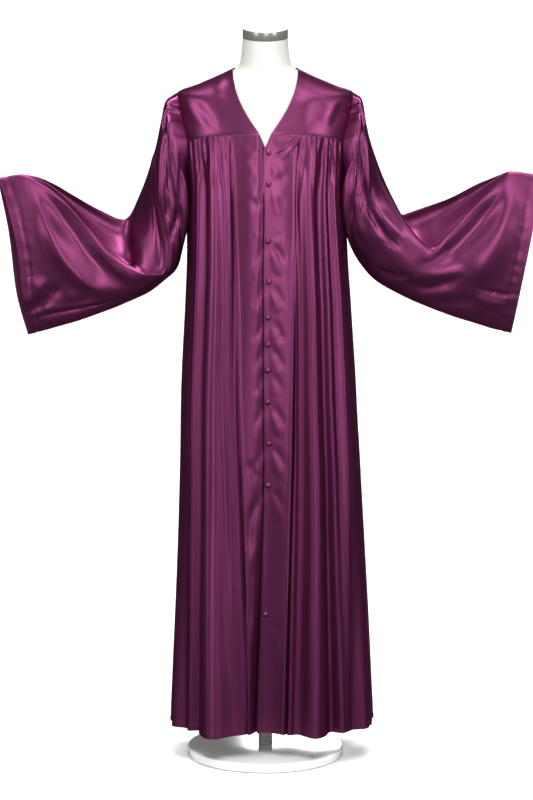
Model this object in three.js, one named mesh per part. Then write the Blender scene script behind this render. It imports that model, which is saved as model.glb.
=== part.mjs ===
// Graduation gown of satin, worn by a limbless dress form on a pole and a round base.
// Millimetres, +Z up. -Y is the front and +X is the wearer's left.
// The origin is the middle of the underside, on the floor.

import * as THREE from "three";

// Cloth and sewing
const WALL = 1.2; // thickness of the cloth
const SEAM = 0.3; // room between two pieces that are sewn together

// Heights on the gown
const HEM = 71;
const GOWN_LENGTH = 1476; // from the neck point of the shoulder to the hem
const NECK_POINT = HEM + GOWN_LENGTH;
const SHOULDER_TIP = NECK_POINT - 53;
const YOKE_SEAM = NECK_POINT - 126; // at the centre front
const YOKE_DROP = 26; // how much lower the yoke seam is at the armhole
const V_POINT = NECK_POINT - 156;
const UNDERARM = NECK_POINT - 277;
const MIDDLE = 833; // half-way down, where the folds are measured
const BACK_NECK_DROP = 24;

// Neck, yoke and armhole
const V_HALF_AT_SEAM = 13; // half the V's width where it crosses the yoke seam
const V_BOW = 12; // how far the V's edges bow out
const ARMHOLE_X = 168; // armhole at the yoke seam, from the middle
const ARMHOLE_ROOM = 1.6; // from the armhole's edge out to the sleeve's

// Centre front, in degrees round the body
const UNDERLAP = 8;
const LAP_INSET = 2; // the right front lies this far inside the left front
const LAP_FALL = 9; // further at the hem, below the last button
const LAST_CLOSED = 600; // height below which the fronts part

// Gathers
const FRONT_GATHERS = 8; // on each front, from the pleat to the armhole
const BACK_GATHERS = 12;
const GATHER_RISE = 2.6;
const GATHER_FADE = 80;
const SLEEVE_GATHERS = 8; // round the head of each sleeve
const SLEEVE_GATHER_RISE = 2.6;

// Buttons, by height
const BUTTON_RADIUS = 6.5;
const BUTTON_RISE = 5;
const BUTTON_INSET = 8; // from the left front's edge to the button's middle
const BUTTON_ROOM = 0.7; // from the cloth to the button's back
const BUTTON_HEIGHTS = [1381, 1314, 1188, 1097, 1017, 957, 899, 827, 735, 638, 346];

// Stand
const PAD = { radius: 169, thick: 1.5 };
const BASE = { radius: 172, thick: 19.2, edge: 4 };
const POLE_RADIUS = 15.5;
const FORM_BOTTOM = 830;
const NECK_TOP = 1616;
const CAP = { radius: 49.5, thick: 21, edge: 1.5 };

// Dress form: half width and depth of its rings, by height
const FORM_ROWS = [
  // height, width, front, back
  [FORM_BOTTOM, 116, 76, 82],
  [838, 138, 90, 98],
  [860, 148, 95, 100],
  [930, 154, 100, 104],
  [1040, 138, 94, 94],
  [1130, 122, 88, 84],
  [1220, 134, 100, 90],
  [1290, 146, 108, 95],
  [1370, 160, 98, 94],
  [1430, 174, 84, 88],
  [1465, 178, 74, 82],
  [1482, 183, 69, 76],
  [1492, 184, 66, 73],
  [1509, 150, 62, 68],
  [1528, 106, 60, 63],
  [NECK_POINT - 1, 64.5, 56.5, 56],
  [1558, 56, 53.5, 53.5],
  [1590, 51, 51, 51],
  [NECK_TOP, 49.3, 49.3, 49.3],
];

const BETWEEN_RINGS = [985, 1085, 1502, 1520, 1538]; // more rings of the form, at these heights

// Gown: half width and depth of its smooth rings, their shift to +X, and how square they are
const GOWN_ROWS = [
  // height, width, front, back, shift, square
  [60, 222, 118, 128, 15, 2.5],
  [372, 209, 120, 127, 13.5, 2.5],
  [652, 198, 121, 125, 11.4, 2.5],
  [MIDDLE, 192, 122, 122, 8, 2.4],
  [1031, 181, 122, 116, 6.5, 2.4],
  [1131, 176, 121, 110, 4.6, 2.3],
  [UNDERARM, 174, 117, 104, 1, 2.1],
  [1360, 181, 107, 101, 0, 2],
  [YOKE_SEAM, 187, 95, 97, 0, 2],
  [1466, 191, 82, 90, 0, 2],
  [1484, 193.5, 77, 84, 0, 2],
  [SHOULDER_TIP, 192.5, 74, 81, 0, 2],
  [1510.5, 152, 69, 75, 0, 2],
  [1529.5, 108, 66, 70, 0, 2],
  [NECK_POINT + 1, 69.5, 64, 66, 0, 2],
];

// Lines of the fronts, in degrees from the centre front
const LINE_ROWS = [
  // height, opening, right pleat, left pleat
  [HEM, -8.6, -13.4, 6.7],
  [382, -5.8, -15.3, 9.8],
  [743, -3, -19.2, 14.4],
  [1101, -2.4, -22.3, 19],
  [UNDERARM, -0.4, -23.5, 22.3],
  [YOKE_SEAM, -0.4, -23.5, 22.3],
];

// Long folds: where each runs at the yoke, half-way and at the hem, in degrees from the centre front,
// how far it stands out half-way and at the hem, and the width of its flanks before and after it
const FOLD_ROWS = [
  // yoke, middle, hem, rise at middle, rise at hem, flank before, flank after
  [-60, -62, -61, 4, -18, 13, 13], // wearer's right side
  [-50, -48, -46.5, -10, -20, 6, 3.5],
  [-39.5, -39, -33, 10, 40, 12, 15],
  [-33, -29, -22.5, -5, -4, 4, 4],
  [-29, -25.7, -17.5, 3, 2, 3.5, 2.5],
  [-25.4, -22.6, -15, -8, -6, 4, 1.8],
  [0, -2, -4, -2, -30, 13, 16], // centre strip
  [25.5, 20.7, 13.3, -8, -9, 3.5, 6], // wearer's left side
  [33.2, 29.1, 23.7, 9, 30, 9, 10],
  [42.6, 36.8, 35.5, -8, -22, 3.5, 4],
  [48.4, 41.3, 38.5, 4, 3, 3, 4],
  [53.7, 45.9, 42.4, -6, -8, 4, 4],
  [61, 58, 52, 5, -16, 11, 14],
  [110, 110, 112, 5, 12, 12, 13], // round the back
  [121, 122, 124, -6, -12, 8, 8],
  [134, 137, 139, 8, 30, 12, 11],
  [148, 152, 154, -7, -14, 8, 8],
  [163, 168, 171, 7, 26, 12, 13],
  [180, 184, 187, -8, -15, 8, 9],
  [197, 200, 203, 8, 32, 13, 12],
  [212, 215, 218, -6, -12, 8, 8],
  [228, 230, 233, 7, 27, 12, 12],
  [246, 247, 249, -4, -10, 8, 8],
];

// Sleeves: for each section from the shoulder to the cuff, the back ridge, the front ridge and the low edge
// (distance from the middle and height), the half depth, the ridges' and the trough's share of that depth
// to the front, how far the trough lies below the front ridge, and how far the sides bow out
const LEFT_SLEEVE_ROWS = [
  // backX, backZ, frontX, frontZ, lowX, lowZ, depth, lip, trough, drop, bow
  [207, 1470, 207, 1470, 181, 1258, 62, 0.55, 0, -6, -12],
  [214, 1440, 214, 1440, 182, 1228, 66, 0.55, 0, -6, -16],
  [226, 1383, 226, 1383, 184, 1182, 66, 0.55, 0, -5, -16],
  [249, 1316, 249, 1316, 190, 1146, 62, 0.55, 0, -3, -10],
  [275, 1257, 279, 1259, 208, 1113, 56, 0.6, 0, 3, -4],
  [295, 1219, 316, 1199, 239, 1077, 50, 0.7, 0, 10, 0],
  [321, 1222, 362, 1154, 291, 1045, 46, 0.75, 0, 16, 0],
  [365, 1239, 397, 1181, 350, 1018, 44, 0.7, 0, 22, 0],
  [409, 1257, 432, 1217, 405, 996, 42, 0.6, 0, 24, 0],
  [459, 1284, 473, 1259, 456, 980, 40, 0.55, 0, 20, 0],
  [507, 1303, 513, 1296, 498, 966, 36, 0.52, 0, 12, 0],
  [542, 1309, 542, 1313, 522, 960, 34, 0.5, 0, 6, 0],
  [606, 1299, 606, 1301, 540, 956, 34, 0.48, 0, 4, 0],
];
const RIGHT_SLEEVE_ROWS = [
  [213, 1466, 213, 1466, 180, 1258, 62, 0.55, 0, -6, -12],
  [222, 1436, 222, 1436, 180, 1226, 66, 0.55, 0, -6, -16],
  [235, 1373, 235, 1373, 180, 1180, 66, 0.55, 0, -5, -16],
  [254, 1315, 250, 1312, 183, 1140, 62, 0.6, -0.2, -2, -8],
  [277, 1255, 224, 1128, 194, 1105, 56, 0.95, -0.6, -60, 0],
  [299, 1210, 256, 1106, 222, 1077, 52, 0.95, -0.4, -36, 0],
  [323, 1205, 291, 1114, 257, 1049, 48, 0.85, -0.1, -8, 0],
  [362, 1226, 332, 1140, 310, 1023, 45, 0.75, 0, 14, 0],
  [406, 1252, 388, 1199, 361, 1002, 42, 0.65, 0, 24, 0],
  [454, 1282, 444, 1259, 409, 984, 40, 0.55, 0, 20, 0],
  [493, 1299, 488, 1288, 455, 971, 36, 0.52, 0, 12, 2],
  [533, 1302, 529, 1307, 492, 960, 34, 0.5, 0, 6, 6],
  [585, 1294, 584, 1296, 521, 952, 34, 0.48, 0, 4, 9],
];

// Largest folds of a sleeve: from and to a section and a share of the way round, half width and rise
const SLEEVE_FOLD_ROWS = [
  // section, round, section, round, half width, rise
  [6.5, 0.24, 9.5, 0.44, 0.05, 6],
  [5.5, 0.3, 7, 0.46, 0.04, -5],
  [9.5, 0.2, 12.5, 0.36, 0.045, 5],
  [1.5, 0.1, 4.5, 0.3, 0.04, 5],
  [2, 0.2, 4.5, 0.42, 0.04, -5],
  [5, 0.62, 10, 0.8, 0.05, 6],
  [8, 0.58, 12.5, 0.7, 0.045, 5],
  [1.5, 0.9, 4.5, 0.72, 0.045, 5],
];

// Triangle grid
const PANEL_ROWS = [0, 0.012, 0.03, 0.06, 0.11, 0.2, 0.33, 0.48, 0.65, 0.83, 1];
const CENTRE_COLUMNS = 8;
const COLUMNS_PER_GATHER = 4;
const ARMHOLE_COLUMNS = 6;
const SLEEVE_ROWS_OF_POINTS = [0, 0.5, 1, 1.5, 2, 3, 4, 5, 6, 7, 8, 9, 10, 11, 12, 13];
const SLEEVE_LOW_COLUMNS = 12;
const YOKE_COLUMNS = 8;
const YOKE_ROWS = 8;

// Materials
const satin = () => new THREE.MeshStandardMaterial({ color: 0x6b2a58, roughness: 0.38, metalness: 0 });
const plaster = () => new THREE.MeshStandardMaterial({ color: 0xe9e6e1, roughness: 0.6, metalness: 0 });
const steel = () => new THREE.MeshStandardMaterial({ color: 0xb9b7b2, roughness: 0.3, metalness: 1 });
const gloss = () => new THREE.MeshStandardMaterial({ color: 0xf2f2f2, roughness: 0.15, metalness: 0 });
const rubber = () => new THREE.MeshStandardMaterial({ color: 0x4a4a4a, roughness: 0.8, metalness: 0 });

// Small sums
const radians = (degrees) => (degrees * Math.PI) / 180;
const mix = (from, to, share) => from + (to - from) * share;
const clamp = (value) => Math.min(1, Math.max(0, value));
const ease = (value) => clamp(value) ** 2 * (3 - 2 * clamp(value));
const steps = (from, to, count) => Array.from({ length: count + 1 }, (_, i) => mix(from, to, i / count));

// Slopes of a curve through a column that never swings past its values
function columnSlopes(places, values) {
  const rates = values.slice(1).map((value, i) => (value - values[i]) / (places[i + 1] - places[i]));
  return values.map((_, i) => {
    const before = rates[i - 1] ?? rates[i];
    const after = rates[i] ?? rates[i - 1];
    return before * after <= 0 ? 0 : (2 * before * after) / (before + after);
  });
}

// Rows sorted by their first column, as a smooth function that gives the other columns by name
function smoothTable(names, rows) {
  const places = rows.map((row) => row[0]);
  const columns = names.map((_, c) => rows.map((row) => row[c + 1]));
  const slopes = columns.map((values) => columnSlopes(places, values));
  return (place) => {
    const next = places.findIndex((value) => value > place);
    const k = next < 0 ? rows.length - 2 : Math.max(0, next - 1);
    const span = places[k + 1] - places[k];
    const t = clamp((place - places[k]) / span);
    const blend = (v, s) => {
      const start = v[k] * (1 + 2 * t) * (1 - t) ** 2 + s[k] * span * t * (1 - t) ** 2;
      return start + v[k + 1] * t * t * (3 - 2 * t) - s[k + 1] * span * t * t * (1 - t);
    };
    return Object.fromEntries(names.map((name, c) => [name, blend(columns[c], slopes[c])]));
  };
}

const formRing = smoothTable(["width", "front", "back"], FORM_ROWS);
const gownRing = smoothTable(["width", "front", "back", "shift", "square"], GOWN_ROWS);
const frontLines = smoothTable(["opening", "right", "left"], LINE_ROWS);
const folds = FOLD_ROWS.map(([yoke, middle, hem, riseMiddle, riseHem, before, after]) => ({
  before,
  after,
  course: smoothTable(["angle", "rise"], [[HEM, hem, riseHem], [MIDDLE, middle, riseMiddle], [YOKE_SEAM, yoke, 0]]),
}));

// Depth of the gown's smooth body in front of (-1) or behind (1) the middle, at a place seen from the front
function bodyDepth(x, height, side) {
  const ring = gownRing(height);
  const reach = side < 0 ? ring.front : ring.back;
  return side * reach * Math.sqrt(Math.max(0, 1 - (x / ring.width) ** 2));
}

// Yoke seam and armhole
const yokeSeamAt = (x) => YOKE_SEAM - YOKE_DROP * Math.abs(x / ARMHOLE_X) ** 3;
const ARMHOLE_CORNER = yokeSeamAt(ARMHOLE_X);
const CORNER_ANGLE = (Math.asin(ARMHOLE_X / gownRing(ARMHOLE_CORNER).width) * 180) / Math.PI;
const SHOULDER_TIP_X = gownRing(SHOULDER_TIP).width;

// How far round from the centre front, or back, the armhole is at a height below the yoke
function armholeAngle(height) {
  const share = clamp((ARMHOLE_CORNER - height) / (ARMHOLE_CORNER - UNDERARM));
  return mix(CORNER_ANGLE, 90, share ** 2);
}

// Height of a panel's top edge at an angle from its centre, on the yoke seam or the armhole
function panelTop(angle) {
  if (angle > CORNER_ANGLE) {
    const share = Math.sqrt((angle - CORNER_ANGLE) / (90 - CORNER_ANGLE));
    return mix(ARMHOLE_CORNER, UNDERARM, share);
  }
  return yokeSeamAt(gownRing(YOKE_SEAM).width * Math.sin(radians(angle)));
}

// Point of the gown's body at an angle from the centre front and a height, moved out square to its ring
function bodyPoint(angle, height, out) {
  const ring = gownRing(height);
  const at = (turn) => {
    const sine = Math.sin(radians(turn));
    const cosine = Math.cos(radians(turn));
    const power = ring.square;
    const size = (Math.abs(sine) ** power + Math.abs(cosine) ** power) ** (-1 / power);
    const reach = cosine > 0 ? ring.front : ring.back;
    return new THREE.Vector3(ring.shift + ring.width * size * sine, -reach * size * cosine, height);
  };
  const along = at(angle + 0.05).sub(at(angle - 0.05));
  const outward = new THREE.Vector3(along.y, -along.x, 0).normalize();
  return at(angle).addScaledVector(outward, out);
}

// How far the long folds stand out
function foldRise(angle, height) {
  return folds.reduce((sum, fold) => {
    const course = fold.course(height);
    const away = angle - course.angle;
    const share = Math.min(1, Math.abs(away) / (away < 0 ? fold.before : fold.after));
    return sum + course.rise * 0.5 * (1 + Math.cos(Math.PI * share));
  }, 0);
}

// How far the gathers below a yoke seam stand out: waves between two angles, fading down the panel
function gatherRise(angle, height, from, to, count) {
  const share = (angle - from) / (to - from);
  if (share < 0 || share > 1) return 0;
  const below = Math.max(0, panelTop(Math.abs(angle > 90 ? 180 - angle : angle)) - height);
  const size = GATHER_RISE * (0.4 + 0.6 * clamp(below / 16)) * Math.exp(-below / GATHER_FADE);
  return -size * Math.cos(2 * Math.PI * share * count) * ease(8 * share) * ease(8 * (1 - share));
}

// A wall of cloth: the outer points come from a surface, and the inner points lie one thickness inside them
function clothWall(surface, columns, rows, facing, isTube) {
  const small = 1e-4;
  const first = [columns[0], rows[0]];
  const last = [columns.at(-1), rows.at(-1)];
  const outer = [];
  const inner = [];
  for (const v of rows) {
    for (const u of columns) {
      const lowU = isTube ? u - small : Math.max(Math.min(first[0], last[0]), u - small);
      const highU = isTube ? u + small : Math.min(Math.max(first[0], last[0]), u + small);
      const lowV = Math.max(first[1], v - small);
      const highV = Math.min(last[1], v + small);
      const alongU = surface(highU, v).sub(surface(lowU, v));
      const alongV = surface(u, highV).sub(surface(u, lowV));
      const normal = alongU.cross(alongV).normalize().multiplyScalar(facing);
      const point = surface(u, v);
      outer.push(point);
      inner.push(point.clone().addScaledVector(normal, -WALL));
    }
  }
  return closedWall(outer, inner, columns.length, rows.length, facing, isTube);
}

// Triangles of a wall: both faces and the cut edges between them
function closedWall(outer, inner, width, height, facing, isTube) {
  const shift = outer.length;
  const index = [];
  const quad = (a, b, c, d) => index.push(...(facing > 0 ? [a, b, c, a, c, d] : [a, c, b, a, d, c]));
  const at = (column, row) => row * width + (column % width);
  const columns = isTube ? width : width - 1;
  for (let row = 0; row < height - 1; row++) {
    for (let column = 0; column < columns; column++) {
      const [a, b] = [at(column, row), at(column + 1, row)];
      const [c, d] = [at(column + 1, row + 1), at(column, row + 1)];
      quad(a, b, c, d);
      quad(a + shift, d + shift, c + shift, b + shift); // split along the same diagonal, so the faces stay apart
    }
  }
  for (let column = 0; column < columns; column++) {
    const top = [at(column, 0), at(column + 1, 0)];
    const low = [at(column, height - 1), at(column + 1, height - 1)];
    quad(top[1], top[0], top[0] + shift, top[1] + shift);
    quad(low[0], low[1], low[1] + shift, low[0] + shift);
  }
  for (let row = 0; !isTube && row < height - 1; row++) {
    const start = [at(0, row), at(0, row + 1)];
    const end = [at(width - 1, row), at(width - 1, row + 1)];
    quad(start[0], start[1], start[1] + shift, start[0] + shift);
    quad(end[1], end[0], end[0] + shift, end[1] + shift);
  }
  const geometry = new THREE.BufferGeometry().setFromPoints([...outer, ...inner]);
  geometry.setIndex(index);
  geometry.computeVertexNormals();
  return geometry;
}

// Front panels: u runs from the opening (0) over the pleat (1) to the armhole's corner (2) and the side seam (3)
function frontAngle(u, height, wearer) {
  const lines = frontLines(height);
  const start = wearer > 0 ? lines.opening : lines.opening + UNDERLAP;
  const pleat = wearer > 0 ? lines.left : lines.right;
  if (u < 1) return mix(start, pleat, u);
  if (u < 2) return mix(pleat, wearer * CORNER_ANGLE, u - 1);
  return wearer * mix(CORNER_ANGLE, 90, u - 2);
}

// The right front goes in under the left front at the centre, and falls away from it below the last button
function lapInset(angle, height) {
  const past = angle - frontLines(height).opening;
  const fall = LAP_FALL * clamp((LAST_CLOSED - height) / (LAST_CLOSED - HEM));
  return (LAP_INSET + fall) * ease((past + 5.5) / 4);
}

// Top edge of a front: the V's edge near the middle, then the yoke seam and the armhole
function frontTop(angle) {
  const x = Math.abs(gownRing(YOKE_SEAM).width * Math.sin(radians(angle)));
  const edge = mix(V_POINT, YOKE_SEAM, x / V_HALF_AT_SEAM);
  return Math.min(edge, panelTop(Math.abs(angle)));
}

function frontSurface(wearer) {
  return (u, v) => {
    const top = frontTop(frontAngle(u, YOKE_SEAM, wearer)) - SEAM;
    const height = mix(top, HEM, v);
    const angle = frontAngle(u, height, wearer);
    const pleat = wearer > 0 ? frontLines(height).left : frontLines(height).right;
    const turned = Math.abs(angle);
    const gathers = gatherRise(turned, height, Math.abs(pleat), CORNER_ANGLE, FRONT_GATHERS);
    const inset = wearer > 0 ? 0 : lapInset(angle, height);
    const point = bodyPoint(angle, height, foldRise(angle, height) + gathers - inset);
    point.y -= SEAM / 2;
    return point;
  };
}

const FRONT_COLUMNS = [
  ...steps(0, 1, CENTRE_COLUMNS).slice(0, -1),
  ...steps(1, 2, FRONT_GATHERS * COLUMNS_PER_GATHER).slice(0, -1),
  ...steps(2, 3, ARMHOLE_COLUMNS),
];

function frontPanel(wearer) {
  return clothWall(frontSurface(wearer), FRONT_COLUMNS, PANEL_ROWS, -wearer, false);
}

// Point on the flat facets between a wall's outer points
function facetPoint(surface, columns, rows, u, v) {
  const i = columns.findLastIndex((column) => column <= u);
  const j = rows.findLastIndex((row) => row <= v);
  const across = (u - columns[i]) / (columns[i + 1] - columns[i]);
  const down = (v - rows[j]) / (rows[j + 1] - rows[j]);
  const upper = surface(columns[i], rows[j]).lerp(surface(columns[i + 1], rows[j]), across);
  const lower = surface(columns[i], rows[j + 1]).lerp(surface(columns[i + 1], rows[j + 1]), across);
  return upper.lerp(lower, down);
}

// Back panel: u is the angle from the centre front, from the wearer's left side seam to the right one
function backSurface(u, v) {
  const fromCentre = Math.abs(180 - u);
  const top = panelTop(fromCentre) - SEAM;
  const height = mix(top, HEM, v);
  const gathers = gatherRise(u, height, 180 - CORNER_ANGLE, 180 + CORNER_ANGLE, BACK_GATHERS);
  const point = bodyPoint(u, height, foldRise(u, height) + gathers);
  point.y += SEAM / 2;
  return point;
}

function backPanel() {
  const corner = 180 - CORNER_ANGLE;
  const columns = [
    ...steps(90, corner, ARMHOLE_COLUMNS).slice(0, -1),
    ...steps(corner, 360 - corner, BACK_GATHERS * COLUMNS_PER_GATHER).slice(0, -1),
    ...steps(360 - corner, 270, ARMHOLE_COLUMNS),
  ];
  return clothWall(backSurface, columns, PANEL_ROWS, -1, false);
}

// Yokes: ruled from the shoulder and neck edge (row 0) to the yoke seam (row 1), laid on the gown's body.
// The share goes with the square of the row, because the body turns over the shoulder there.
function yokePoint(upper, lower, row, side, bow) {
  const share = row * row;
  const x = mix(upper.x, lower.x, share) + bow * 4 * share * (1 - share);
  const height = mix(upper.z, lower.z, share);
  return new THREE.Vector3(x, bodyDepth(x, height, side) + (side * SEAM) / 2, height);
}

// Shoulder line from the neck point (0) to the tip (1)
function shoulderLine(share) {
  const height = mix(NECK_POINT, SHOULDER_TIP, share);
  return { x: gownRing(height).width, z: height };
}

function frontYoke(wearer) {
  const surface = (u, v) => {
    const upper = shoulderLine(u);
    const x = mix(V_HALF_AT_SEAM, ARMHOLE_X, u);
    const lower = { x, z: yokeSeamAt(x) + SEAM };
    const point = yokePoint(upper, lower, v, -1, V_BOW * (1 - u) ** 2);
    point.x *= wearer;
    return point;
  };
  return clothWall(surface, steps(0, 1, YOKE_COLUMNS), steps(0, 1, YOKE_ROWS), -wearer, false);
}

// Back yoke: u runs from the left armhole (-1.5) over the neck points (-0.5 and 0.5) to the right armhole
function backYoke() {
  const surface = (u, v) => {
    const across = Math.sin(Math.PI * Math.min(0.5, Math.abs(u)));
    const neck = { x: shoulderLine(0).x * across, z: NECK_POINT - BACK_NECK_DROP * (1 - across ** 4) };
    const upper = Math.abs(u) < 0.5 ? neck : shoulderLine(Math.abs(u) - 0.5);
    const x = (ARMHOLE_X * Math.abs(u)) / 1.5;
    const lower = { x, z: yokeSeamAt(x) + SEAM };
    const point = yokePoint(upper, lower, v, 1, 0);
    point.x *= u < 0 ? 1 : -1;
    return point;
  };
  return clothWall(surface, steps(-1.5, 1.5, 3 * YOKE_COLUMNS), steps(0, 1, YOKE_ROWS), -1, false);
}

// Armhole edge on one side of the body, round from the shoulder tip (0) over the front to the underarm (0.5)
function armholeEdge(round, wearer) {
  const isFront = round < 0.5;
  const share = (1 - Math.cos(2 * Math.PI * round)) / 2;
  const height = mix(SHOULDER_TIP, UNDERARM, share);
  const side = isFront ? -1 : 1;
  if (height > ARMHOLE_CORNER) {
    const fall = (SHOULDER_TIP - height) / (SHOULDER_TIP - ARMHOLE_CORNER);
    const x = mix(SHOULDER_TIP_X, ARMHOLE_X, fall);
    return new THREE.Vector3(x, bodyDepth(x, height, side), height);
  }
  const turn = armholeAngle(height);
  const point = bodyPoint(isFront ? turn : 180 - turn, height, 0);
  point.x += (wearer - 1) * gownRing(height).shift;
  return point;
}

// Points that a section of the sleeve passes through, from the trough over the front ridge and back
function sleeveSection(row) {
  const [backX, backZ, frontX, frontZ, lowX, lowZ, depth, lip, trough, drop, bow] = row;
  const between = (x, z, share, y, out = 0) => new THREE.Vector3(mix(x, lowX, share) + out, y, mix(z, lowZ, share));
  const middleX = mix(frontX, backX, 0.5);
  const middleZ = mix(frontZ, backZ, 0.5);
  const length = Math.hypot(frontX - lowX, frontZ - lowZ);
  const top = drop < -20 ? between(mix(frontX, backX, 0.6), mix(frontZ, backZ, 0.6), 0, trough * depth)
    : between(Math.min(middleX, frontX), Math.min(middleZ, frontZ), drop / length, trough * depth);
  return [
    top,
    between(frontX, frontZ, 0, -lip * depth),
    between(frontX, frontZ, 0.36, -depth),
    between(frontX, frontZ, 0.76, -0.72 * depth, bow),
    between(lowX, lowZ, 0, 0),
    between(backX, backZ, 0.74, 0.66 * depth, bow),
    between(backX, backZ, 0.34, 0.9 * depth),
    between(backX, backZ, 0, 0.8 * lip * depth),
  ];
}

// Point on a curve through four values
function throughFour(a, b, c, d, t) {
  const bend = (p, q, r, s) => {
    const cubic = (3 * (q - r) + s - p) * t + 2 * p - 5 * q + 4 * r - s;
    return q + 0.5 * t * (r - p + t * cubic);
  };
  return new THREE.Vector3(bend(a.x, b.x, c.x, d.x), bend(a.y, b.y, c.y, d.y), bend(a.z, b.z, c.z, d.z));
}

// Largest folds of a sleeve, at a section and a share of the way round
function sleeveFoldRise(section, round) {
  return SLEEVE_FOLD_ROWS.reduce((sum, [fromSection, fromRound, toSection, toRound, half, rise]) => {
    const share = clamp((section - fromSection) / (toSection - fromSection));
    const away = Math.abs(round - mix(fromRound, toRound, share)) / half;
    const ends = ease(2 * (section - fromSection + 1)) * ease(2 * (toSection - section + 1));
    return sum + (away < 1 ? rise * 0.5 * (1 + Math.cos(Math.PI * away)) * ends * Math.sin(Math.PI * mix(0.15, 0.85, share)) : 0);
  }, 0);
}

// Gathers round the head of a sleeve, fading away from the armhole
function sleeveGatherRise(section, round) {
  const fromTop = Math.min(round, 1 - round) / 0.25;
  if (fromTop > 1) return 0;
  const wave = Math.cos(Math.PI * SLEEVE_GATHERS * fromTop * 0.5 * 2);
  const size = SLEEVE_GATHER_RISE * clamp(section * 1.5) * Math.exp(-0.6 * section);
  return size * wave * ease(3 * (1 - fromTop));
}

function sleeveSurface(rows, wearer) {
  const sections = rows.map(sleeveSection);
  const ringPoint = (k, round) => {
    if (k < 1) {
      const edge = armholeEdge(round, wearer);
      edge.x += ARMHOLE_ROOM;
      return edge;
    }
    const keys = sections[Math.min(k, sections.length) - 1];
    const place = round * keys.length;
    const i = Math.floor(place);
    const key = (j) => keys[(i + j + 2 * keys.length) % keys.length];
    return throughFour(key(-1), key(0), key(1), key(2), place - i);
  };
  const smooth = (round, section) => {
    const turn = ((round % 1) + 1) % 1;
    const k = Math.min(sections.length - 1, Math.floor(section));
    const before = k > 0 ? ringPoint(k - 1, turn) : ringPoint(0, turn);
    return throughFour(before, ringPoint(k, turn), ringPoint(k + 1, turn), ringPoint(k + 2, turn), section - k);
  };
  return (round, section) => {
    const turn = ((round % 1) + 1) % 1;
    const rise = sleeveFoldRise(section, turn) + sleeveGatherRise(section, turn);
    const point = smooth(round, section);
    if (Math.abs(rise) < 1e-6) return point;
    const alongRound = smooth(round + 0.002, section).sub(smooth(round - 0.002, section));
    const low = Math.max(0, section - 0.02);
    const high = Math.min(sections.length, section + 0.02);
    const alongSection = smooth(round, high).sub(smooth(round, low));
    return point.addScaledVector(alongRound.cross(alongSection).normalize(), rise);
  };
}

function sleeve(wearer, rows) {
  const surface = sleeveSurface(rows, wearer);
  const sided = (u, v) => surface(u, v).multiply(new THREE.Vector3(wearer, 1, 1));
  const columns = [
    ...steps(-0.25, 0.25, SLEEVE_GATHERS * COLUMNS_PER_GATHER),
    ...steps(0.25, 0.75, SLEEVE_LOW_COLUMNS).slice(1, -1),
  ];
  return clothWall(sided, columns, SLEEVE_ROWS_OF_POINTS, wearer, true);
}

// Covered dome button, its back to -Z
function button() {
  const dome = steps(0, 90, 3).map((turn) => {
    const r = Math.max(1e-9, BUTTON_RADIUS * Math.cos(radians(turn)));
    return new THREE.Vector2(turn === 90 ? 0 : r, 1 + (BUTTON_RISE - 1) * Math.sin(radians(turn)));
  });
  const profile = [new THREE.Vector2(0, 0), new THREE.Vector2(BUTTON_RADIUS - 0.6, 0), ...dome];
  return new THREE.LatheGeometry(profile, 9).rotateX(Math.PI / 2);
}

// Buttons stand on the left front's facets, near its edge
function placeButton(mesh, height) {
  const lines = frontLines(height);
  const inset = (BUTTON_INSET / gownRing(height).front) * (180 / Math.PI);
  const u = inset / (lines.left - lines.opening);
  const top = frontTop(frontAngle(u, YOKE_SEAM, 1));
  const v = (top - height) / (top - HEM);
  const on = (du, dv) => facetPoint(frontSurface(1), FRONT_COLUMNS, PANEL_ROWS, u + du, v + dv);
  const outward = on(0.04, 0).sub(on(-0.04, 0)).cross(on(0, -0.002).sub(on(0, 0.002))).normalize();
  mesh.quaternion.setFromUnitVectors(new THREE.Vector3(0, 0, 1), outward);
  mesh.position.copy(on(0, 0)).addScaledVector(outward, BUTTON_ROOM);
}

// Dress form: rings closed by a flat underside and a flat top
function formTorso() {
  const around = 32;
  const heights = [...FORM_ROWS.map((row) => row[0]), ...BETWEEN_RINGS].sort((a, b) => a - b);
  const points = heights.flatMap((height) => {
    const ring = formRing(height);
    return steps(0, 360, around).slice(0, -1).map((turn) => {
      const cosine = Math.cos(radians(turn));
      const reach = cosine > 0 ? ring.front : ring.back;
      return new THREE.Vector3(ring.width * Math.sin(radians(turn)), -reach * cosine, height);
    });
  });
  const index = [];
  const at = (column, row) => row * around + (column % around);
  for (let row = 0; row < heights.length - 1; row++) {
    for (let column = 0; column < around; column++) {
      const [a, b] = [at(column, row), at(column + 1, row)];
      const [c, d] = [at(column + 1, row + 1), at(column, row + 1)];
      index.push(a, b, c, a, c, d);
    }
  }
  const low = points.push(new THREE.Vector3(0, 0, heights[0])) - 1;
  const high = points.push(new THREE.Vector3(0, 0, heights.at(-1))) - 1;
  for (let column = 0; column < around; column++) {
    index.push(low, at(column + 1, 0), at(column, 0));
    index.push(high, at(column, heights.length - 1), at(column + 1, heights.length - 1));
  }
  const geometry = new THREE.BufferGeometry().setFromPoints(points);
  geometry.setIndex(index);
  geometry.computeVertexNormals();
  return geometry;
}

// Round plate with a rounded upper edge, its underside at zero
function plate(radius, thick, edge, around) {
  const bend = steps(0, 90, 3).map((turn) => {
    const r = radius - edge + edge * Math.cos(radians(turn));
    return new THREE.Vector2(r, thick - edge + edge * Math.sin(radians(turn)));
  });
  const profile = [new THREE.Vector2(0, 0), new THREE.Vector2(radius, 0), ...bend, new THREE.Vector2(0, thick)];
  return new THREE.LatheGeometry(profile, around).rotateX(Math.PI / 2);
}

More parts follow.
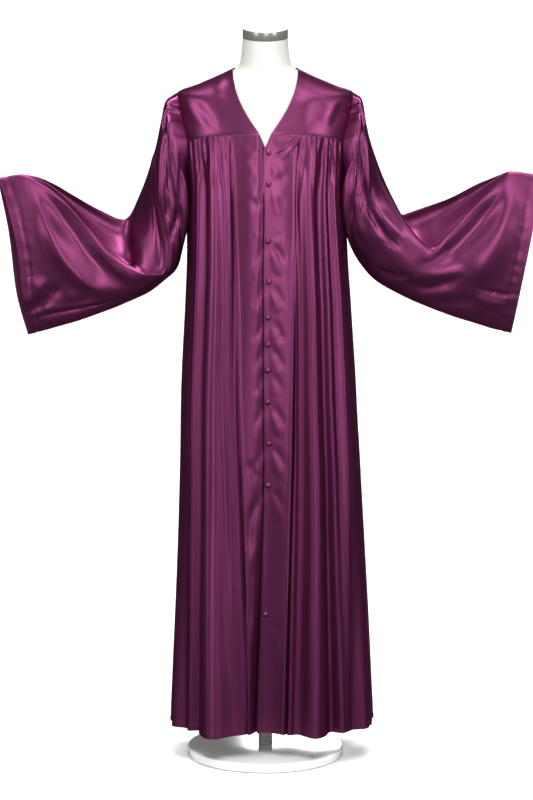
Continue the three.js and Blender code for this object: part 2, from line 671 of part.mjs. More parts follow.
function stand() {
  const baseTop = PAD.thick + SEAM + BASE.thick;
  const poleLength = FORM_BOTTOM - baseTop - 2 * SEAM;
  const pad = new THREE.CylinderGeometry(PAD.radius, PAD.radius, PAD.thick, 56).rotateX(Math.PI / 2);
  const pole = new THREE.CylinderGeometry(POLE_RADIUS, POLE_RADIUS, poleLength, 32).rotateX(Math.PI / 2);
  return [
    piece("stand_pad", pad, rubber(), PAD.thick / 2),
    piece("stand_base", plate(BASE.radius, BASE.thick, BASE.edge, 56), gloss(), PAD.thick + SEAM),
    piece("stand_pole", pole, steel(), baseTop + SEAM + poleLength / 2),
    piece("form_torso", formTorso(), plaster(), 0),
    piece("form_cap", plate(CAP.radius, CAP.thick - SEAM, CAP.edge, 36), steel(), NECK_TOP + SEAM),
  ];
}

function piece(name, geometry, material, height) {
  const mesh = new THREE.Mesh(geometry, material);
  mesh.name = name;
  mesh.position.z = height;
  return mesh;
}

function gown() {
  const cloth = [
    piece("yoke_front_right", frontYoke(-1), satin(), 0),
    piece("yoke_front_left", frontYoke(1), satin(), 0),
    piece("yoke_back", backYoke(), satin(), 0),
    piece("front_right", frontPanel(-1), satin(), 0),
    piece("front_left", frontPanel(1), satin(), 0),
    piece("back", backPanel(), satin(), 0),
    piece("sleeve_right", sleeve(-1, RIGHT_SLEEVE_ROWS), satin(), 0),
    piece("sleeve_left", sleeve(1, LEFT_SLEEVE_ROWS), satin(), 0),
  ];
  const buttons = BUTTON_HEIGHTS.map((height, i) => {
    const mesh = piece(`button_${String(i + 1).padStart(2, "0")}`, button(), satin(), 0);
    placeButton(mesh, height);
    return mesh;
  });
  return [...cloth, ...buttons];
}

const part = new THREE.Group();
part.name = "graduation_gown_on_dress_form";
part.add(...stand(), ...gown());
export default part;
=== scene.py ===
# Graduation gown of plum satin, worn by a limbless dress form on a pole and a round base.
# Lengths are in millimetres and are turned into metres where a mesh is made. +Z is up, -Y is the front
# and +X is the wearer's left.

import math

import bpy
import numpy as np
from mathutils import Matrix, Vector


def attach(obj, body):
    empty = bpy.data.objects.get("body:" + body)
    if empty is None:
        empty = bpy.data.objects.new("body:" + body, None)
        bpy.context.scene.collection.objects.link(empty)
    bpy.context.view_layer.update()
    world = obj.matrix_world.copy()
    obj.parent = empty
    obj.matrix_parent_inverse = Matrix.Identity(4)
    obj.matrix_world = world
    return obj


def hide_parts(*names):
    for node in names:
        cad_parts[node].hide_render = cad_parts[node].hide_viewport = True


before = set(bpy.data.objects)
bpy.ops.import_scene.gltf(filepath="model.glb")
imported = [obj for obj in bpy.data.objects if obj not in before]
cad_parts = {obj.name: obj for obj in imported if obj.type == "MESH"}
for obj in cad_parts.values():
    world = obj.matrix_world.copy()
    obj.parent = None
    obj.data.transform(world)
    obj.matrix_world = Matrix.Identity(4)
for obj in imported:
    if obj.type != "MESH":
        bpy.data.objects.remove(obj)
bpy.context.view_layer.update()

# Cloth and sewing
WALL = 1.2
SEAM = 0.3
SEAM_ROLL = 1.1  # how far an edge turns in at its seam
SEAM_ROLL_WIDTH = 3.0
HEM_STITCH = 16.0  # from a hem to its row of stitches
HEM_EXTRA = 0.35  # how far the turned hem stands out
HEM_GROOVE = 0.5
STITCH_WIDTH = 1.4
CUFF_STITCH = 22.0
CUFF_GROOVE = 1.2
CUFF_GROOVE_WIDTH = 2.4
CUFF_PUCKER = 0.7
CUFF_PUCKER_WIDTH = 11
SLEEVE_SEAM_WIDTH = 0.08  # as a share of the first section
PANEL_WAVE = 0.22  # slight unevenness of hanging cloth
BACK_WAVE = 0.4
SLEEVE_WAVE = 0.3
CUFF_SLANT = 16.0  # how far the front of the right cuff lies inside its back

# Heights on the gown
HEM = 71
NECK_POINT = HEM + 1476
SHOULDER_TIP = NECK_POINT - 53
YOKE_SEAM = NECK_POINT - 126
YOKE_DROP = 26
V_POINT = NECK_POINT - 156
UNDERARM = NECK_POINT - 277
MIDDLE = 833
FOLD_CHEST = 1270
FOLD_CHEST_SHARE = 0.75  # of a fold's rise half-way
FOLD_CHEST_COURSE = 0.7  # of the way from its middle to its place at the yoke
BACK_NECK_DROP = 24

# Neck, yoke and armhole
V_HALF_AT_SEAM = 13
V_BOW = 12
ARMHOLE_X = 168
ARMHOLE_ROOM = 1.2  # how far a sleeve starts inside the armhole edge
ARMHOLE_TUCK = 0.975  # of the armhole's depth, at the start of a sleeve
YOKE_EASE = 60  # rounds of smoothing

# Centre front
UNDERLAP = 8  # degrees of the right front that lie under the left one
LAP_INSET = 2  # how far they lie behind it
LAP_FALL = 9  # how much further at the hem
LAST_CLOSED = 600  # height below which the fronts part

# Pleats and the opening: depths and widths across the cloth. Pleats are shallower on the chest
MM_PER_DEGREE = 2.1  # along the cloth near the centre front, about
PLEAT_DROP = 4
PLEAT_DROP_WIDTH = 14
PLEAT_GROOVE = 7
PLEAT_GROOVE_WIDTH = 2.6
PLEAT_ROLL = 0.9
PLEAT_ROLL_WIDTH = 2.4
PLEAT_DEEP_BELOW = 1080
PLEAT_FADE = 140
PLEAT_CHEST_SHARE = 0.7
OPENING_GROOVE = 3.6
OPENING_GROOVE_WIDTH = 2
FORM_ROOM = 2.4  # least distance from the cloth's outside to the dress form

# Gathers
FRONT_GATHERS = 8
BACK_GATHERS = 12
GATHER_RISE = 1.9
GATHER_FADE = 80
SLEEVE_GATHERS = 8
SLEEVE_GATHER_RISE = 3.2

# How far the cloth behind a sleeve's front ridge sinks back, and where, by share of the way round
TROUGH_HOLLOW = 12
TROUGH_TURN = 0.925
TROUGH_HALF = 0.055

# Creases, as shares of their length and width
CREASE_TAPER = 0.34
CREASE_END_WIDTH = 0.45

# Buttons
BUTTON_RADIUS = 6.5
BUTTON_RISE = 5
BUTTON_INSET = 8
BUTTON_ROOM = 0.7  # gap to the cloth
BUTTON_RIM = 1.2
BUTTON_LIFT = 0.6  # more gap, for the cloth's curve
BUTTON_HEIGHTS = [1381, 1314, 1188, 1097, 1017, 957, 899, 827, 735, 638, 346]

# Stand
PAD_RADIUS = 169
PAD_THICK = 1.5
BASE_RADIUS = 172
BASE_THICK = 19.2
BASE_EDGE = 4
BASE_LOW_EDGE = 1
PAD_EDGE = 0.3
POLE_RADIUS = 15.5
POLE_EDGE = 0.5
FORM_BOTTOM = 830
NECK_TOP = 1616
CAP_RADIUS = 49.5
CAP_THICK = 21
CAP_EDGE = 1.5
CAP_LOW_EDGE = 0.6
AXIS_RADIUS = 0.02  # smallest ring of a turned piece
EDGE_STEPS = 8
BEVEL_STEPS = 2

# Camera, in metres, and picture, in pixels
PICTURE_LONG_SIDE = 800
MM_PER_PIXEL = 2.2
CAMERA_PLACE = (0.0026, -19.4, 5.305)
CAMERA_AIM = (0.0026, 0.0, 0.805)

# Studio, in metres, watts and degrees
LIGHT_ROWS = [
    # name, place, aim, size, power, spread
    ("overhead", (0, 5.0, 5.0), (0, 5.0, 0), (5.0, 12.5), 265, 60),
    ("top_front", (0.4, -2.0, 4.0), (0, 0, 1.1), (1.8, 1.2), 11.5, 70),
    ("front", (0.3, -4.4, 1.3), (0, 0, 0.5), (0.8, 2.6), 8.7, 70),
    ("rear", (0.3, 4.4, 1.7), (0, 0, 0.8), (0.8, 2.6), 9, 70),
    ("side_left", (3.0, -2.8, 1.6), (0, 0, 0.7), (0.8, 2.6), 10.5, 80),
    ("side_right", (-3.0, -2.8, 1.6), (0, 0, 0.7), (0.8, 2.6), 10.5, 80),
]
WORLD_COLOUR = (0.9, 0.9, 0.92, 1)
WORLD_STRENGTH = 0.1
FLOOR_GLOW = 0.2
FLOOR_HALF = 200_000  # millimetres

# Dress form: half width and depth of its rings, by height
FORM_ROWS = [
    # height, width, front, back
    (FORM_BOTTOM, 116, 76, 82),
    (838, 138, 90, 98),
    (860, 148, 95, 100),
    (930, 154, 100, 104),
    (1040, 138, 94, 94),
    (1130, 122, 88, 84),
    (1220, 134, 100, 90),
    (1290, 146, 108, 95),
    (1370, 160, 98, 94),
    (1430, 174, 84, 88),
    (1465, 178, 74, 82),
    (1482, 183, 69, 76),
    (1492, 184, 66, 73),
    (1509, 150, 62, 68),
    (1528, 106, 60, 63),
    (NECK_POINT - 1, 64.5, 56.5, 56),
    (1558, 56, 53.5, 53.5),
    (1590, 51, 51, 51),
    (NECK_TOP, 49.3, 49.3, 49.3),
]

# Gown: half width and depth of its smooth rings, their shift to +X, and how square they are
GOWN_ROWS = [
    # height, width, front, back, shift, square
    (60, 222, 118, 128, 15, 2.5),
    (372, 209, 120, 127, 13.5, 2.5),
    (652, 198, 121, 125, 11.4, 2.5),
    (MIDDLE, 192, 122, 122, 8, 2.4),
    (1031, 181, 122, 116, 6.5, 2.4),
    (1131, 176, 121, 110, 4.6, 2.3),
    (UNDERARM, 174, 117, 104, 1, 2.1),
    (1360, 181, 107, 101, 0, 2),
    (YOKE_SEAM, 187, 95, 97, 0, 2),
    (1466, 191, 82, 90, 0, 2),
    (1484, 193.5, 77, 84, 0, 2),
    (SHOULDER_TIP, 192.5, 74, 81, 0, 2),
    (1510.5, 152, 69, 75, 0, 2),
    (1529.5, 108, 66, 70, 0, 2),
    (NECK_POINT + 1, 69.5, 64, 66, 0, 2),
]

# Lines of the fronts, in degrees from the centre front
LINE_ROWS = [
    # height, opening, right pleat, left pleat
    (HEM, -8.6, -13.4, 6.7),
    (382, -5.8, -15.3, 9.8),
    (743, -3, -19.2, 14.4),
    (1101, -2.4, -22.3, 19),
    (UNDERARM, -0.4, -23.5, 22.3),
    (YOKE_SEAM, -0.4, -23.5, 22.3),
]

# Long folds: where each runs at the yoke, half-way and at the hem, in degrees from the centre front,
# how far it stands out half-way and at the hem, and the width of its flanks before and after it
FOLD_ROWS = [
    # yoke, middle, hem, rise at middle, rise at hem, flank before, flank after
    (-60, -62, -61, 4, -18, 13, 13),  # wearer's right side
    (-50, -48, -46.5, -12, -20, 8, 5),
    (-39.5, -39, -33, 13, 40, 12, 15),
    (-33, -30.5, -24, -5, -1, 6, 5),
    (-29, -26, -17.5, 2, 0, 4.5, 3),
    (-25.4, -22.6, -15, -7, -5, 6, 1.8),
    (0, -2, -4, -2, -30, 13, 16),  # centre strip
    (25.5, 20.7, 13.3, -8, -9, 3.5, 7),  # wearer's left side
    (33.2, 29.1, 23.7, 12, 30, 9, 10),
    (42.6, 36.8, 35.5, -10, -22, 6.5, 7),
    (48.4, 41.5, 38.5, 3, 0, 4.5, 5),
    (53.7, 47.4, 43.4, -6, -3, 6, 7),
    (61, 58, 52, 5, -16, 11, 14),
    (110, 110, 112, 5, 12, 12, 13),  # round the back
    (121, 122, 124, -6, -12, 8, 8),
    (134, 137, 139, 8, 30, 12, 11),
    (148, 152, 154, -7, -14, 8, 8),
    (163, 168, 171, 7, 26, 12, 13),
    (180, 184, 187, -8, -15, 8, 9),
    (197, 200, 203, 8, 32, 13, 12),
    (212, 215, 218, -6, -12, 8, 8),
    (228, 230, 233, 7, 27, 12, 12),
    (246, 247, 249, -4, -10, 8, 8),
]

# Narrower folds between the long ones, in the same columns
FLUTE_ROWS = [
    (-79, -78, -77, 2, 3, 7, 6),
    (-55, -55, -53.5, 2, 1, 4.5, 4),
    (57.2, 53.4, 48.8, 1.6, 1, 4.5, 4.5),
    (79, 78, 76, -2, -3, 7, 6),
    (99, 99, 100, -3, -5, 6, 6),
    (116, 116.5, 118.5, 2.4, 4, 3, 2.6),
    (128, 129.6, 131.6, -2, -3, 3, 3),
    (142.5, 145.6, 147.5, 2, 4, 3, 3.2),
    (156, 160.4, 162.6, -2.2, -4, 3.4, 3),
    (172, 176.4, 179.4, 2.4, 4, 3, 3.4),
    (189, 192.6, 195.6, -2, -4, 3.2, 3),
    (205, 208, 211, 2.2, 4, 3, 3.2),
    (220, 222.4, 225.6, -2, -3, 3, 3),
    (237, 239.4, 242, 2.4, 4, 3.2, 3),
    (259, 259, 260, 3, 5, 6, 6),
]

# Creases of the fronts, seen from the front: half width, rise, and the places they pass through
FRONT_CREASES = [
    # half width, rise, [(x, height), ...]
    (12, -1.2, [(-66, 1408), (-34, 1398), (-8, 1392)]),  # pulls from the top button
    (13, 1.3, [(-70, 1392), (-36, 1384), (-8, 1378)]),
    (12, -1.0, [(-62, 1372), (-34, 1364), (-8, 1362)]),
    (12, 1.0, [(-56, 1380), (-34, 1352), (-10, 1326)]),
    (12, -1.3, [(12, 1407), (38, 1405), (64, 1397)]),
    (12, 1.2, [(10, 1390), (36, 1390), (60, 1384)]),
    (4.5, -1.9, [(73, 1417), (56, 1398), (37, 1380), (10, 1371)]),  # two slanting tucks
    (4.5, 1.5, [(79, 1416), (63, 1396), (44, 1377), (16, 1363)]),
    (4.5, -1.3, [(86, 1416), (70, 1394), (52, 1374)]),
    (12, 1.0, [(8, 1330), (28, 1338), (52, 1356)]),
    (11, -0.9, [(8, 1316), (30, 1320), (54, 1334)]),
    (11, 0.9, [(-36, 1302), (-20, 1286), (-6, 1272)]),
    (10, -0.8, [(-32, 1284), (-18, 1266), (-6, 1254)]),
    (11, 0.8, [(10, 1278), (26, 1288), (42, 1306)]),
    (10, -0.8, [(14, 1182), (28, 1166), (42, 1138)]),
    (5.5, -2.4, [(131, 1414), (139, 1384), (147, 1346), (151, 1290)]),  # strong gather on the left
    (6.5, 2.2, [(140, 1412), (149, 1378), (156, 1330)]),
    (6, -1.6, [(120, 1413), (122, 1376), (126, 1310)]),
    (9, 1.8, [(104, 1410), (107, 1366), (113, 1290)]),
    (6, -1.4, [(93, 1414), (92, 1384), (91, 1330)]),
    (6, -1.8, [(-102, 1414), (-100, 1376), (-97, 1310)]),  # gathers on the right
    (8, 1.8, [(-113, 1412), (-115, 1368), (-117, 1290)]),
    (6, -1.6, [(-124, 1410), (-126, 1376), (-128, 1320)]),
    (7, 1.7, [(-135, 1408), (-137, 1372), (-141, 1300)]),
    (6, -1.7, [(-146, 1404), (-148, 1368), (-152, 1280)]),
    (10, 1.6, [(-86, 1408), (-87, 1372), (-89, 1300)]),
    (12, -2.4, [(-18, 622), (-30, 560), (-34, 470)]),  # where the fronts part
    (10, 2.4, [(-8, 604), (-20, 540), (-30, 430)]),
    (9, -1.6, [(-10, 640), (-24, 664), (-44, 700)]),
    (10, 1.6, [(-14, 352), (-26, 326), (-34, 260)]),
]

# Pulls round a button: half width, rise, and places from the button's middle
BUTTON_PULLS = [
    (8, -0.9, [(-7, -3), (-20, -28), (-34, -64)]),
    (9, 0.8, [(-4, -14), (-12, -44), (-20, -80)]),
    (8, -0.8, [(8, -3), (22, -26), (40, -58)]),
    (9, 0.8, [(6, -16), (15, -46), (26, -82)]),
    (7, 0.5, [(-8, 4), (-20, 11), (-38, 13)]),
    (7, -0.5, [(8, 7), (22, 12), (38, 12)]),
]
BUTTON_PULL_SHARES = [0.5, 0.8, 1.0, 1.0, 1.1, 0.8, 0.7, 1.1, 1.1, 1.0, 0.5]

# Creases of the yokes, seen from the front or the back
YOKE_CREASES = [
    (13, 1.3, [(-178, 1486), (-152, 1454), (-120, 1426)]),
    (11, -1.2, [(-168, 1494), (-136, 1460), (-100, 1422)]),
    (14, 1.1, [(-146, 1500), (-116, 1466), (-86, 1430)]),
    (10, 1.0, [(-92, 1542), (-98, 1522), (-108, 1500)]),
    (12, -0.8, [(-76, 1540), (-82, 1514), (-94, 1484)]),
    (12, -1.4, [(174, 1488), (160, 1458), (142, 1424)]),
    (14, 1.4, [(158, 1492), (142, 1462), (122, 1430)]),
    (16, -1.0, [(130, 1498), (110, 1470), (90, 1434)]),
    (22, 1.2, [(74, 1504), (82, 1468), (92, 1434)]),
    (10, -0.7, [(20, 1434), (56, 1430), (92, 1436)]),
]
BACK_YOKE_CREASES = [
    (10, 1.8, [(-168, 1480), (-134, 1452), (-90, 1434)]),
    (9, -1.7, [(-150, 1492), (-116, 1468), (-70, 1450)]),
    (12, 1.6, [(-60, 1512), (0, 1498), (66, 1508)]),
    (12, -1.6, [(-80, 1494), (-6, 1478), (76, 1490)]),
    (10, 1.8, [(166, 1478), (130, 1450), (84, 1436)]),
    (9, -1.7, [(150, 1492), (118, 1466), (74, 1452)]),
]

# Sleeves: for each section from the shoulder to the cuff, the back ridge, the front ridge and the low edge
# (distance from the middle and height), the half depth, the ridges' and the trough's share of that depth
# to the front, how far the trough lies below the front ridge, and how far the sides bow out
LEFT_SLEEVE_ROWS = [
    # backX, backZ, frontX, frontZ, lowX, lowZ, depth, lip, trough, drop, bow
    (207, 1470, 207, 1470, 181, 1258, 62, 0.55, 0, -6, -16),
    (214, 1440, 214, 1440, 182, 1228, 66, 0.55, 0, -6, -22),
    (226, 1383, 226, 1383, 184, 1182, 66, 0.55, 0, -5, -24),
    (249, 1316, 249, 1316, 190, 1146, 62, 0.55, 0, -3, -18),
    (275, 1257, 279, 1259, 208, 1113, 56, 0.6, 0, 3, -4),
    (295, 1219, 316, 1199, 239, 1077, 50, 0.7, 0, 10, 0),
    (321, 1222, 362, 1154, 291, 1045, 46, 0.75, 0, 16, 0),
    (365, 1239, 397, 1181, 350, 1018, 44, 0.7, 0, 22, 0),
    (409, 1257, 432, 1217, 405, 996, 42, 0.6, 0, 24, 0),
    (459, 1284, 473, 1259, 456, 980, 40, 0.55, 0, 20, 0),
    (507, 1303, 513, 1296, 498, 966, 36, 0.52, 0, 12, 0),
    (542, 1309, 542, 1313, 522, 960, 34, 0.5, 0, 6, 0),
    (606, 1299, 606, 1301, 540, 956, 34, 0.48, 0, 4, 0),
]
RIGHT_SLEEVE_ROWS = [
    (213, 1466, 213, 1466, 180, 1258, 62, 0.55, 0, -6, -16),
    (222, 1436, 222, 1436, 180, 1226, 66, 0.55, 0, -6, -22),
    (235, 1373, 235, 1373, 180, 1180, 66, 0.55, 0, -5, -24),
    (254, 1315, 250, 1312, 183, 1140, 62, 0.6, -0.2, -2, -16),
    (277, 1255, 224, 1128, 194, 1105, 56, 0.95, -0.6, -60, 0),
    (299, 1210, 256, 1106, 222, 1077, 52, 0.95, -0.4, -36, 0),
    (323, 1205, 291, 1114, 257, 1049, 48, 0.85, -0.1, -8, 0),
    (362, 1226, 332, 1140, 310, 1023, 45, 0.75, 0, 14, 0),
    (406, 1252, 388, 1199, 361, 1002, 42, 0.65, 0, 24, 0),
    (454, 1282, 444, 1259, 409, 984, 40, 0.55, 0, 20, 0),
    (493, 1299, 488, 1288, 455, 971, 36, 0.52, 0, 12, 2),
    (533, 1302, 529, 1307, 492, 960, 34, 0.5, 0, 6, 6),
    (585, 1294, 584, 1296, 521, 952, 34, 0.48, 0, 4, 9),
]

# Largest folds of a sleeve: from and to a section and a share of the way round, half width and rise
SLEEVE_FOLD_ROWS = [
    # section, round, section, round, half width, rise
    (1.5, 0.1, 4.5, 0.3, 0.04, 5),
    (2, 0.2, 4.5, 0.42, 0.04, -5),
    (5, 0.62, 10, 0.8, 0.05, 6),
    (8, 0.58, 12.5, 0.7, 0.045, 5),
    (1.5, 0.9, 4.5, 0.72, 0.045, 5),
]

# Creases on a sleeve's front, by distance from the middle and height
LEFT_SLEEVE_CREASES = [
    (11, 5, [(209, 1446), (219, 1384), (228, 1308), (252, 1256)]),
    (10, -7, [(199, 1430), (204, 1340), (220, 1262), (268, 1180)]),
    (11, 5, [(184, 1350), (193, 1262), (206, 1206), (244, 1140)]),
    (9, -5, [(190, 1400), (186, 1310), (192, 1240), (206, 1180)]),
    (12, 4, [(240, 1256), (268, 1214), (306, 1176)]),
    (9, -4, [(234, 1236), (258, 1192), (300, 1150)]),
    (25, -15, [(318, 1118), (364, 1122), (406, 1146), (450, 1188), (489, 1234), (530, 1292)]),
    (30, 8, [(416, 1066), (462, 1100), (496, 1144), (523, 1206), (545, 1276)]),
    (14, -7, [(290, 1086), (346, 1064), (396, 1074), (442, 1098)]),
    (9, -4, [(238, 1112), (280, 1092), (330, 1094)]),
    (14, -4, [(352, 1036), (412, 1030), (470, 1040)]),
    (3, -3.6, [(448, 1072), (484, 1058), (516, 1050), (572, 1046)]),
    (12, 3, [(452, 1050), (490, 1030), (540, 1022)]),
]
RIGHT_SLEEVE_CREASES = [
    (11, 5, [(218, 1440), (226, 1340), (233, 1262), (250, 1192), (270, 1158)]),
    (9, -6, [(204, 1420), (206, 1330), (212, 1260), (232, 1180)]),
    (9, 4, [(198, 1340), (212, 1268), (238, 1176), (256, 1136)]),
    (8, -5, [(186, 1380), (184, 1300), (190, 1230), (220, 1152)]),
    (8, -4, [(252, 1250), (262, 1210), (284, 1176)]),
    (25, -15, [(504, 1294), (456, 1236), (419, 1186), (384, 1138), (344, 1096), (306, 1074), (268, 1070)]),
    (18, 8, [(505, 1266), (479, 1211), (452, 1146), (418, 1100), (380, 1066), (336, 1050)]),
    (24, 5, [(548, 1016), (514, 1048), (476, 1090)]),
    (18, -5, [(520, 1000), (480, 1040), (440, 1074)]),
    (22, 4, [(486, 1010), (444, 1034), (396, 1052)]),
    (3, -4, [(530, 986), (471, 1004), (392, 1016), (310, 1042)]),
    (8, 3, [(524, 998), (471, 1014), (392, 1026), (330, 1046)]),
    (10, 2, [(512, 976), (452, 990), (380, 1002)]),
]

# Creases on a sleeve's back
SLEEVE_BACK_CREASES = [
    (10, 5, [(212, 1440), (222, 1370), (236, 1300), (262, 1236)]),
    (8, -5, [(198, 1410), (202, 1330), (214, 1260), (240, 1190)]),
    (9, 4, [(188, 1330), (198, 1262), (216, 1196), (250, 1136)]),
    (16, -7, [(344, 1190), (392, 1150), (430, 1090), (450, 1020)]),
    (17, 7, [(380, 1216), (430, 1170), (470, 1100), (492, 1030)]),
    (14, -5, [(430, 1240), (476, 1190), (512, 1120), (524, 1060)]),
    (11, 5, [(300, 1130), (350, 1096), (396, 1040)]),
    (9, -4, [(270, 1130), (312, 1090), (350, 1046)]),
    (12, 4, [(486, 1270), (520, 1220), (544, 1150)]),
]

# Grids of points
PANEL_ROW_COUNT = 200
CENTRE_COLUMN_COUNT = 106
GATHER_COLUMN_COUNT = 96
SIDE_COLUMN_COUNT = 28
BACK_COLUMN_COUNT = 170
SLEEVE_ROW_COUNT = 170
SLEEVE_COLUMN_COUNT = 168
YOKE_ROW_COUNT = 56
YOKE_COLUMN_COUNT = 70
BACK_YOKE_COLUMN_COUNT = 170
ROW_CROWDING = 1.35  # rows lie closer near the top of a panel
FORM_AROUND = 112
CAP_AROUND = 96
POLE_AROUND = 64
BASE_AROUND = 160
PAD_AROUND = 128
BUTTON_AROUND = 40


# Small sums
def mix(start, end, share):
    return start + (end - start) * share


def ease(value):
    share = np.clip(value, 0, 1)
    return share * share * (3 - 2 * share)


def bell(away, width):
    return np.exp(-((away / width) ** 2))


def hump(away):
    """One in the middle, falling smoothly to nothing at a distance of one."""
    return 0.5 * (1 + np.cos(np.pi * np.minimum(1, np.abs(away))))


def unit(vectors):
    length = np.linalg.norm(vectors, axis=-1, keepdims=True)
    return vectors / np.maximum(length, 1e-9)


def distance_along(points, axis):
    """Distance along one direction of a grid or a path, from its start."""
    steps = np.linalg.norm(np.diff(points, axis=axis), axis=-1)
    start = np.zeros_like(np.take(steps, [0], axis))
    return np.concatenate([start, np.cumsum(steps, axis=axis)], axis=axis)


def through_four(a, b, c, d, share):
    """A curve through four values, between the second and the third."""
    cubic = (3 * (b - c) + d - a) * share + 2 * a - 5 * b + 4 * c - d
    return b + 0.5 * share * (c - a + share * cubic)


def smooth_table(rows):
    """Rows sorted by their first column, as a smooth function of it that gives the other columns."""
    table = np.array(rows, float)
    places = table[:, 0]
    values = table[:, 1:]
    rates = np.diff(values, axis=0) / np.diff(places)[:, None]
    before = np.vstack([rates[:1], rates])
    after = np.vstack([rates, rates[-1:]])
    same_way = before * after > 0
    slopes = np.where(same_way, 2 * before * after / np.where(same_way, before + after, 1), 0)

    def at(place):
        place = np.asarray(place, float)
        k = np.clip(np.searchsorted(places, place, side="right") - 1, 0, len(places) - 2)
        span = (places[k + 1] - places[k])[..., None]
        t = np.clip((place - places[k])[..., None] / span, 0, 1)
        start = values[k] * (1 + 2 * t) + slopes[k] * span * t
        end = values[k + 1] * (3 - 2 * t) - slopes[k + 1] * span * (1 - t)
        return np.moveaxis(start * (1 - t) ** 2 + end * t * t, -1, 0)

    return at


form_ring = smooth_table(FORM_ROWS)
gown_ring = smooth_table(GOWN_ROWS)
front_lines = smooth_table(LINE_ROWS)


def fold_courses(rows):
    """Each fold's flanks, and its angle and rise by height."""
    courses = []
    for yoke, middle, hem, rise_middle, rise_hem, before, after in rows:
        places = [
            (HEM, hem, rise_hem),
            (MIDDLE, middle, rise_middle),
            (FOLD_CHEST, mix(middle, yoke, FOLD_CHEST_COURSE), FOLD_CHEST_SHARE * rise_middle),
            (YOKE_SEAM, yoke, 0),
        ]
        courses.append((before, after, smooth_table(places)))
    return courses


folds = fold_courses(FOLD_ROWS + FLUTE_ROWS)


# The gown's body
def body_depth(x, height, side):
    """Depth of the smooth body in front of (-1) or behind (1) the middle."""
    width, front, back, _, _ = gown_ring(height)
    reach = front if side < 0 else back
    return side * reach * np.sqrt(np.maximum(0, 1 - (x / width) ** 2))


def yoke_seam_at(x):
    return YOKE_SEAM - YOKE_DROP * np.abs(x / ARMHOLE_X) ** 3


ARMHOLE_CORNER = float(yoke_seam_at(ARMHOLE_X))
CORNER_ANGLE = math.degrees(math.asin(ARMHOLE_X / gown_ring(ARMHOLE_CORNER)[0]))
YOKE_HALF_WIDTH = float(gown_ring(YOKE_SEAM)[0])
SHOULDER_TIP_X = float(gown_ring(SHOULDER_TIP)[0])


def armhole_angle(height):
    share = np.clip((ARMHOLE_CORNER - height) / (ARMHOLE_CORNER - UNDERARM), 0, 1)
    return mix(CORNER_ANGLE, 90, share**2)


def panel_top(angle):
    """Height of a panel's top edge at an angle from its centre, on the yoke seam or the armhole."""
    share = np.sqrt(np.clip((angle - CORNER_ANGLE) / (90 - CORNER_ANGLE), 0, 1))
    armhole = mix(ARMHOLE_CORNER, UNDERARM, share)
    seam = yoke_seam_at(YOKE_HALF_WIDTH * np.sin(np.radians(angle)))
    return np.where(angle > CORNER_ANGLE, armhole, seam)


def body_ring(angle, height):
    width, front, back, shift, square = gown_ring(height)
    sine = np.sin(np.radians(angle))
    cosine = np.cos(np.radians(angle))
    size = (np.abs(sine) ** square + np.abs(cosine) ** square) ** (-1 / square)
    reach = np.where(cosine > 0, front, back)
    return np.stack([shift + width * size * sine, -reach * size * cosine, height + 0 * sine], -1)


def body_point(angle, height, out):
    """Point at an angle from the centre front and a height, moved out square to its ring."""
    along = body_ring(angle + 0.05, height) - body_ring(angle - 0.05, height)
    outward = unit(np.stack([along[..., 1], -along[..., 0], 0 * along[..., 2]], -1))
    return body_ring(angle, height) + outward * np.asarray(out)[..., None]


def fold_rise(angle, height):
    total = np.zeros(np.broadcast(angle, height).shape)
    for before, after, course in folds:
        middle, rise = course(height)
        away = angle - middle
        total += rise * hump(away / np.where(away < 0, before, after))
    return total


def gather_rise(angle, height, start, end, count):
    """Waves between two angles below a yoke seam, uneven in width and size, fading down the panel."""
    share = (angle - start) / (end - start)
    folded = np.where(angle > 90, np.abs(180 - angle), np.abs(angle))
    below = np.maximum(0, panel_top(folded) - height)
    warped = share + 0.022 * np.sin(17 * share + 1) + 0.012 * np.sin(31 * share + 2)
    uneven = 1 + 0.45 * np.sin(9.5 * share + 0.6) * np.sin(23 * share)
    rooted = mix(0.4, 1, np.clip(below / 16, 0, 1))
    size = GATHER_RISE * uneven * rooted * np.exp(-below / (GATHER_FADE * uneven))
    ends = ease(8 * share) * ease(8 * (1 - share))
    return np.where((share > 0) & (share < 1), -size * np.cos(2 * np.pi * warped * count) * ends, 0)


# Creases
def smooth_path(points, steps=10):
    """A smooth line through a few points."""
    keys = np.array([points[0], *points, points[-1]], float)
    share = np.linspace(0, 1, steps, endpoint=False)[:, None]
    parts = [through_four(*keys[i : i + 4], share) for i in range(len(points) - 1)]
    return np.vstack([*parts, keys[-1:]])


def crease_rise(x, height, creases):
    """How far creases stand out at places seen from the front. Each narrows and fades at both ends."""
    total = np.zeros(x.shape)
    for half, rise, points in creases:
        path = smooth_path(points)
        low = path.min(0) - 3 * half
        high = path.max(0) + 3 * half
        near = (x > low[0]) & (x < high[0]) & (height > low[1]) & (height < high[1])
        if not near.any():
            continue
        place = np.stack([x[near], height[near]], -1)
        along = distance_along(path, 0)
        best = np.full(len(place), 1e9)
        where = np.zeros(len(place))
        for i in range(len(path) - 1):
            step = path[i + 1] - path[i]
            length = along[i + 1] - along[i]
            share = np.clip((place - path[i]) @ step / length**2, 0, 1)
            away = np.linalg.norm(place - path[i] - share[:, None] * step, axis=1)
            closer = away < best
            best = np.where(closer, away, best)
            where = np.where(closer, along[i] + share * length, where)
        share = where / along[-1]
        ends = ease(share / CREASE_TAPER) * ease((1 - share) / CREASE_TAPER)
        total[near] += rise * ends * bell(best, half * mix(CREASE_END_WIDTH, 1, ends))
    return total


